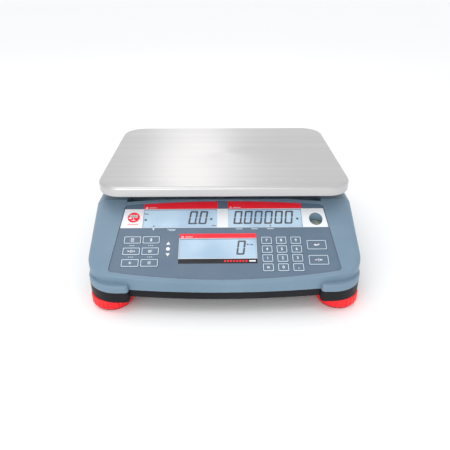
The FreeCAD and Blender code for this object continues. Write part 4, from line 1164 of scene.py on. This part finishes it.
upperLow = weightOpening[1] + markShapes["upperRise"]
makeFigures("figures_weight", "lcd_weight", "0.0", -43.2, upperLow,
            [lampMark(-15.6, 25.4), block(4.4, 1.0, -12.6, 16.2), block(5.2, 1.1, -92.8, 33.2),
             block(2.6, 2.6, -93.4, 24.6), flagMark(-83, 15.2)])
makeFigures("figures_unit", "lcd_unit_weight", "0.00000", 10.2, upperLow,
            [lampMark(86.6, 25.4), flagMark(54, 15.2)])
makeFigures("figures_count", "lcd_count", "0", 12.6, countOpening[1] + markShapes["countRise"],
            [block(2.4, 1.4, 26.2, -10.2), block(3.4, 1.2, 30.6, -10.6)])
print("display figures made")


# ---- round level

levelLook = dict(gap=0.35, wall=0.9, core=0.2, bevel=0.3, flange=1.4, neck=(0.4, 1.8), rim=0.4,
    rimDrop=0.15, floor=5, fluidGap=0.05, fluidLift=0.1, fluidDrop=1.2, ring=3.0, ringWidth=0.35,
    ringFoot=0.02, ringTop=0.1, bubble=2.2, bubbleFoot=0.05, bubbleFlat=0.3, bubbleShift=1.0,
    lensLow=0.75, lensEdge=0.35, lensTurn=(0.6, 0.1), cupSharp=40, clearSharp=60)


def makeLevel():
    low, high, centre = boxOf("level_vial")
    look = named(levelLook)
    radius = printing.wellRadius - look.gap
    foot, bottom, top = (high.x - low.x) / 2 / mm, low.z / mm, high.z / mm
    wall, bevel, rim, core = look.wall, look.bevel, look.rim, look.core
    neckIn, neckUp = look.neck
    cup = [(bevel, bottom), (foot - bevel, bottom), (foot, bottom + bevel),
           (foot, bottom + look.flange), (foot - neckIn, bottom + neckUp),
           (radius, bottom + neckUp)]
    cup += arcPoints((radius - rim, top - rim), rim, 0, 90, 4)
    cup += [(radius - wall, top - look.rimDrop), (radius - wall, bottom + look.floor),
            (bevel, bottom + look.floor)]
    lathePiece("level_cup", cup, centre, look.cupSharp, "level green", "base",
               "level_vial")
    fluidTop, inner = top - look.fluidDrop, radius - wall - look.fluidGap
    fluidFoot = bottom + (look.floor + look.fluidLift)
    fluid = [(core, fluidFoot), (inner, fluidFoot), (inner, fluidTop), (core, fluidTop)]
    lathePiece("level_fluid", fluid, centre, None, "level fluid")
    ring, ringEdge = look.ring, look.ring + look.ringWidth
    ringFoot, ringTop = fluidTop + look.ringFoot, fluidTop + look.ringTop
    mark = [(ring, ringFoot), (ringEdge, ringFoot), (ringEdge, ringTop), (ring, ringTop)]
    lathePiece("level_ring", mark, centre, None, "black ink", closed=True)
    rise = look.bubbleFoot
    bubble = [(0.1, fluidTop + rise)] + arcPoints((0.1, fluidTop + 0.1), look.bubble, 0, 90, 8)
    bubble = [(x, fluidTop + rise + (z - fluidTop - rise) * look.bubbleFlat)
              for x, z in bubble]
    aside = centre + Vector((look.bubbleShift * mm, 0, 0))
    lathePiece("level_bubble", bubble, aside, look.clearSharp, "vial clear")
    turnIn, turnDrop = look.lensTurn
    lens = [(core, top - look.lensLow), (inner, top - look.lensLow),
            (inner, top - look.lensEdge), (radius * turnIn, top - turnDrop), (core, top)]
    lathePiece("level_lens", lens, centre, look.clearSharp, "vial clear")


makeLevel()
print("level made")
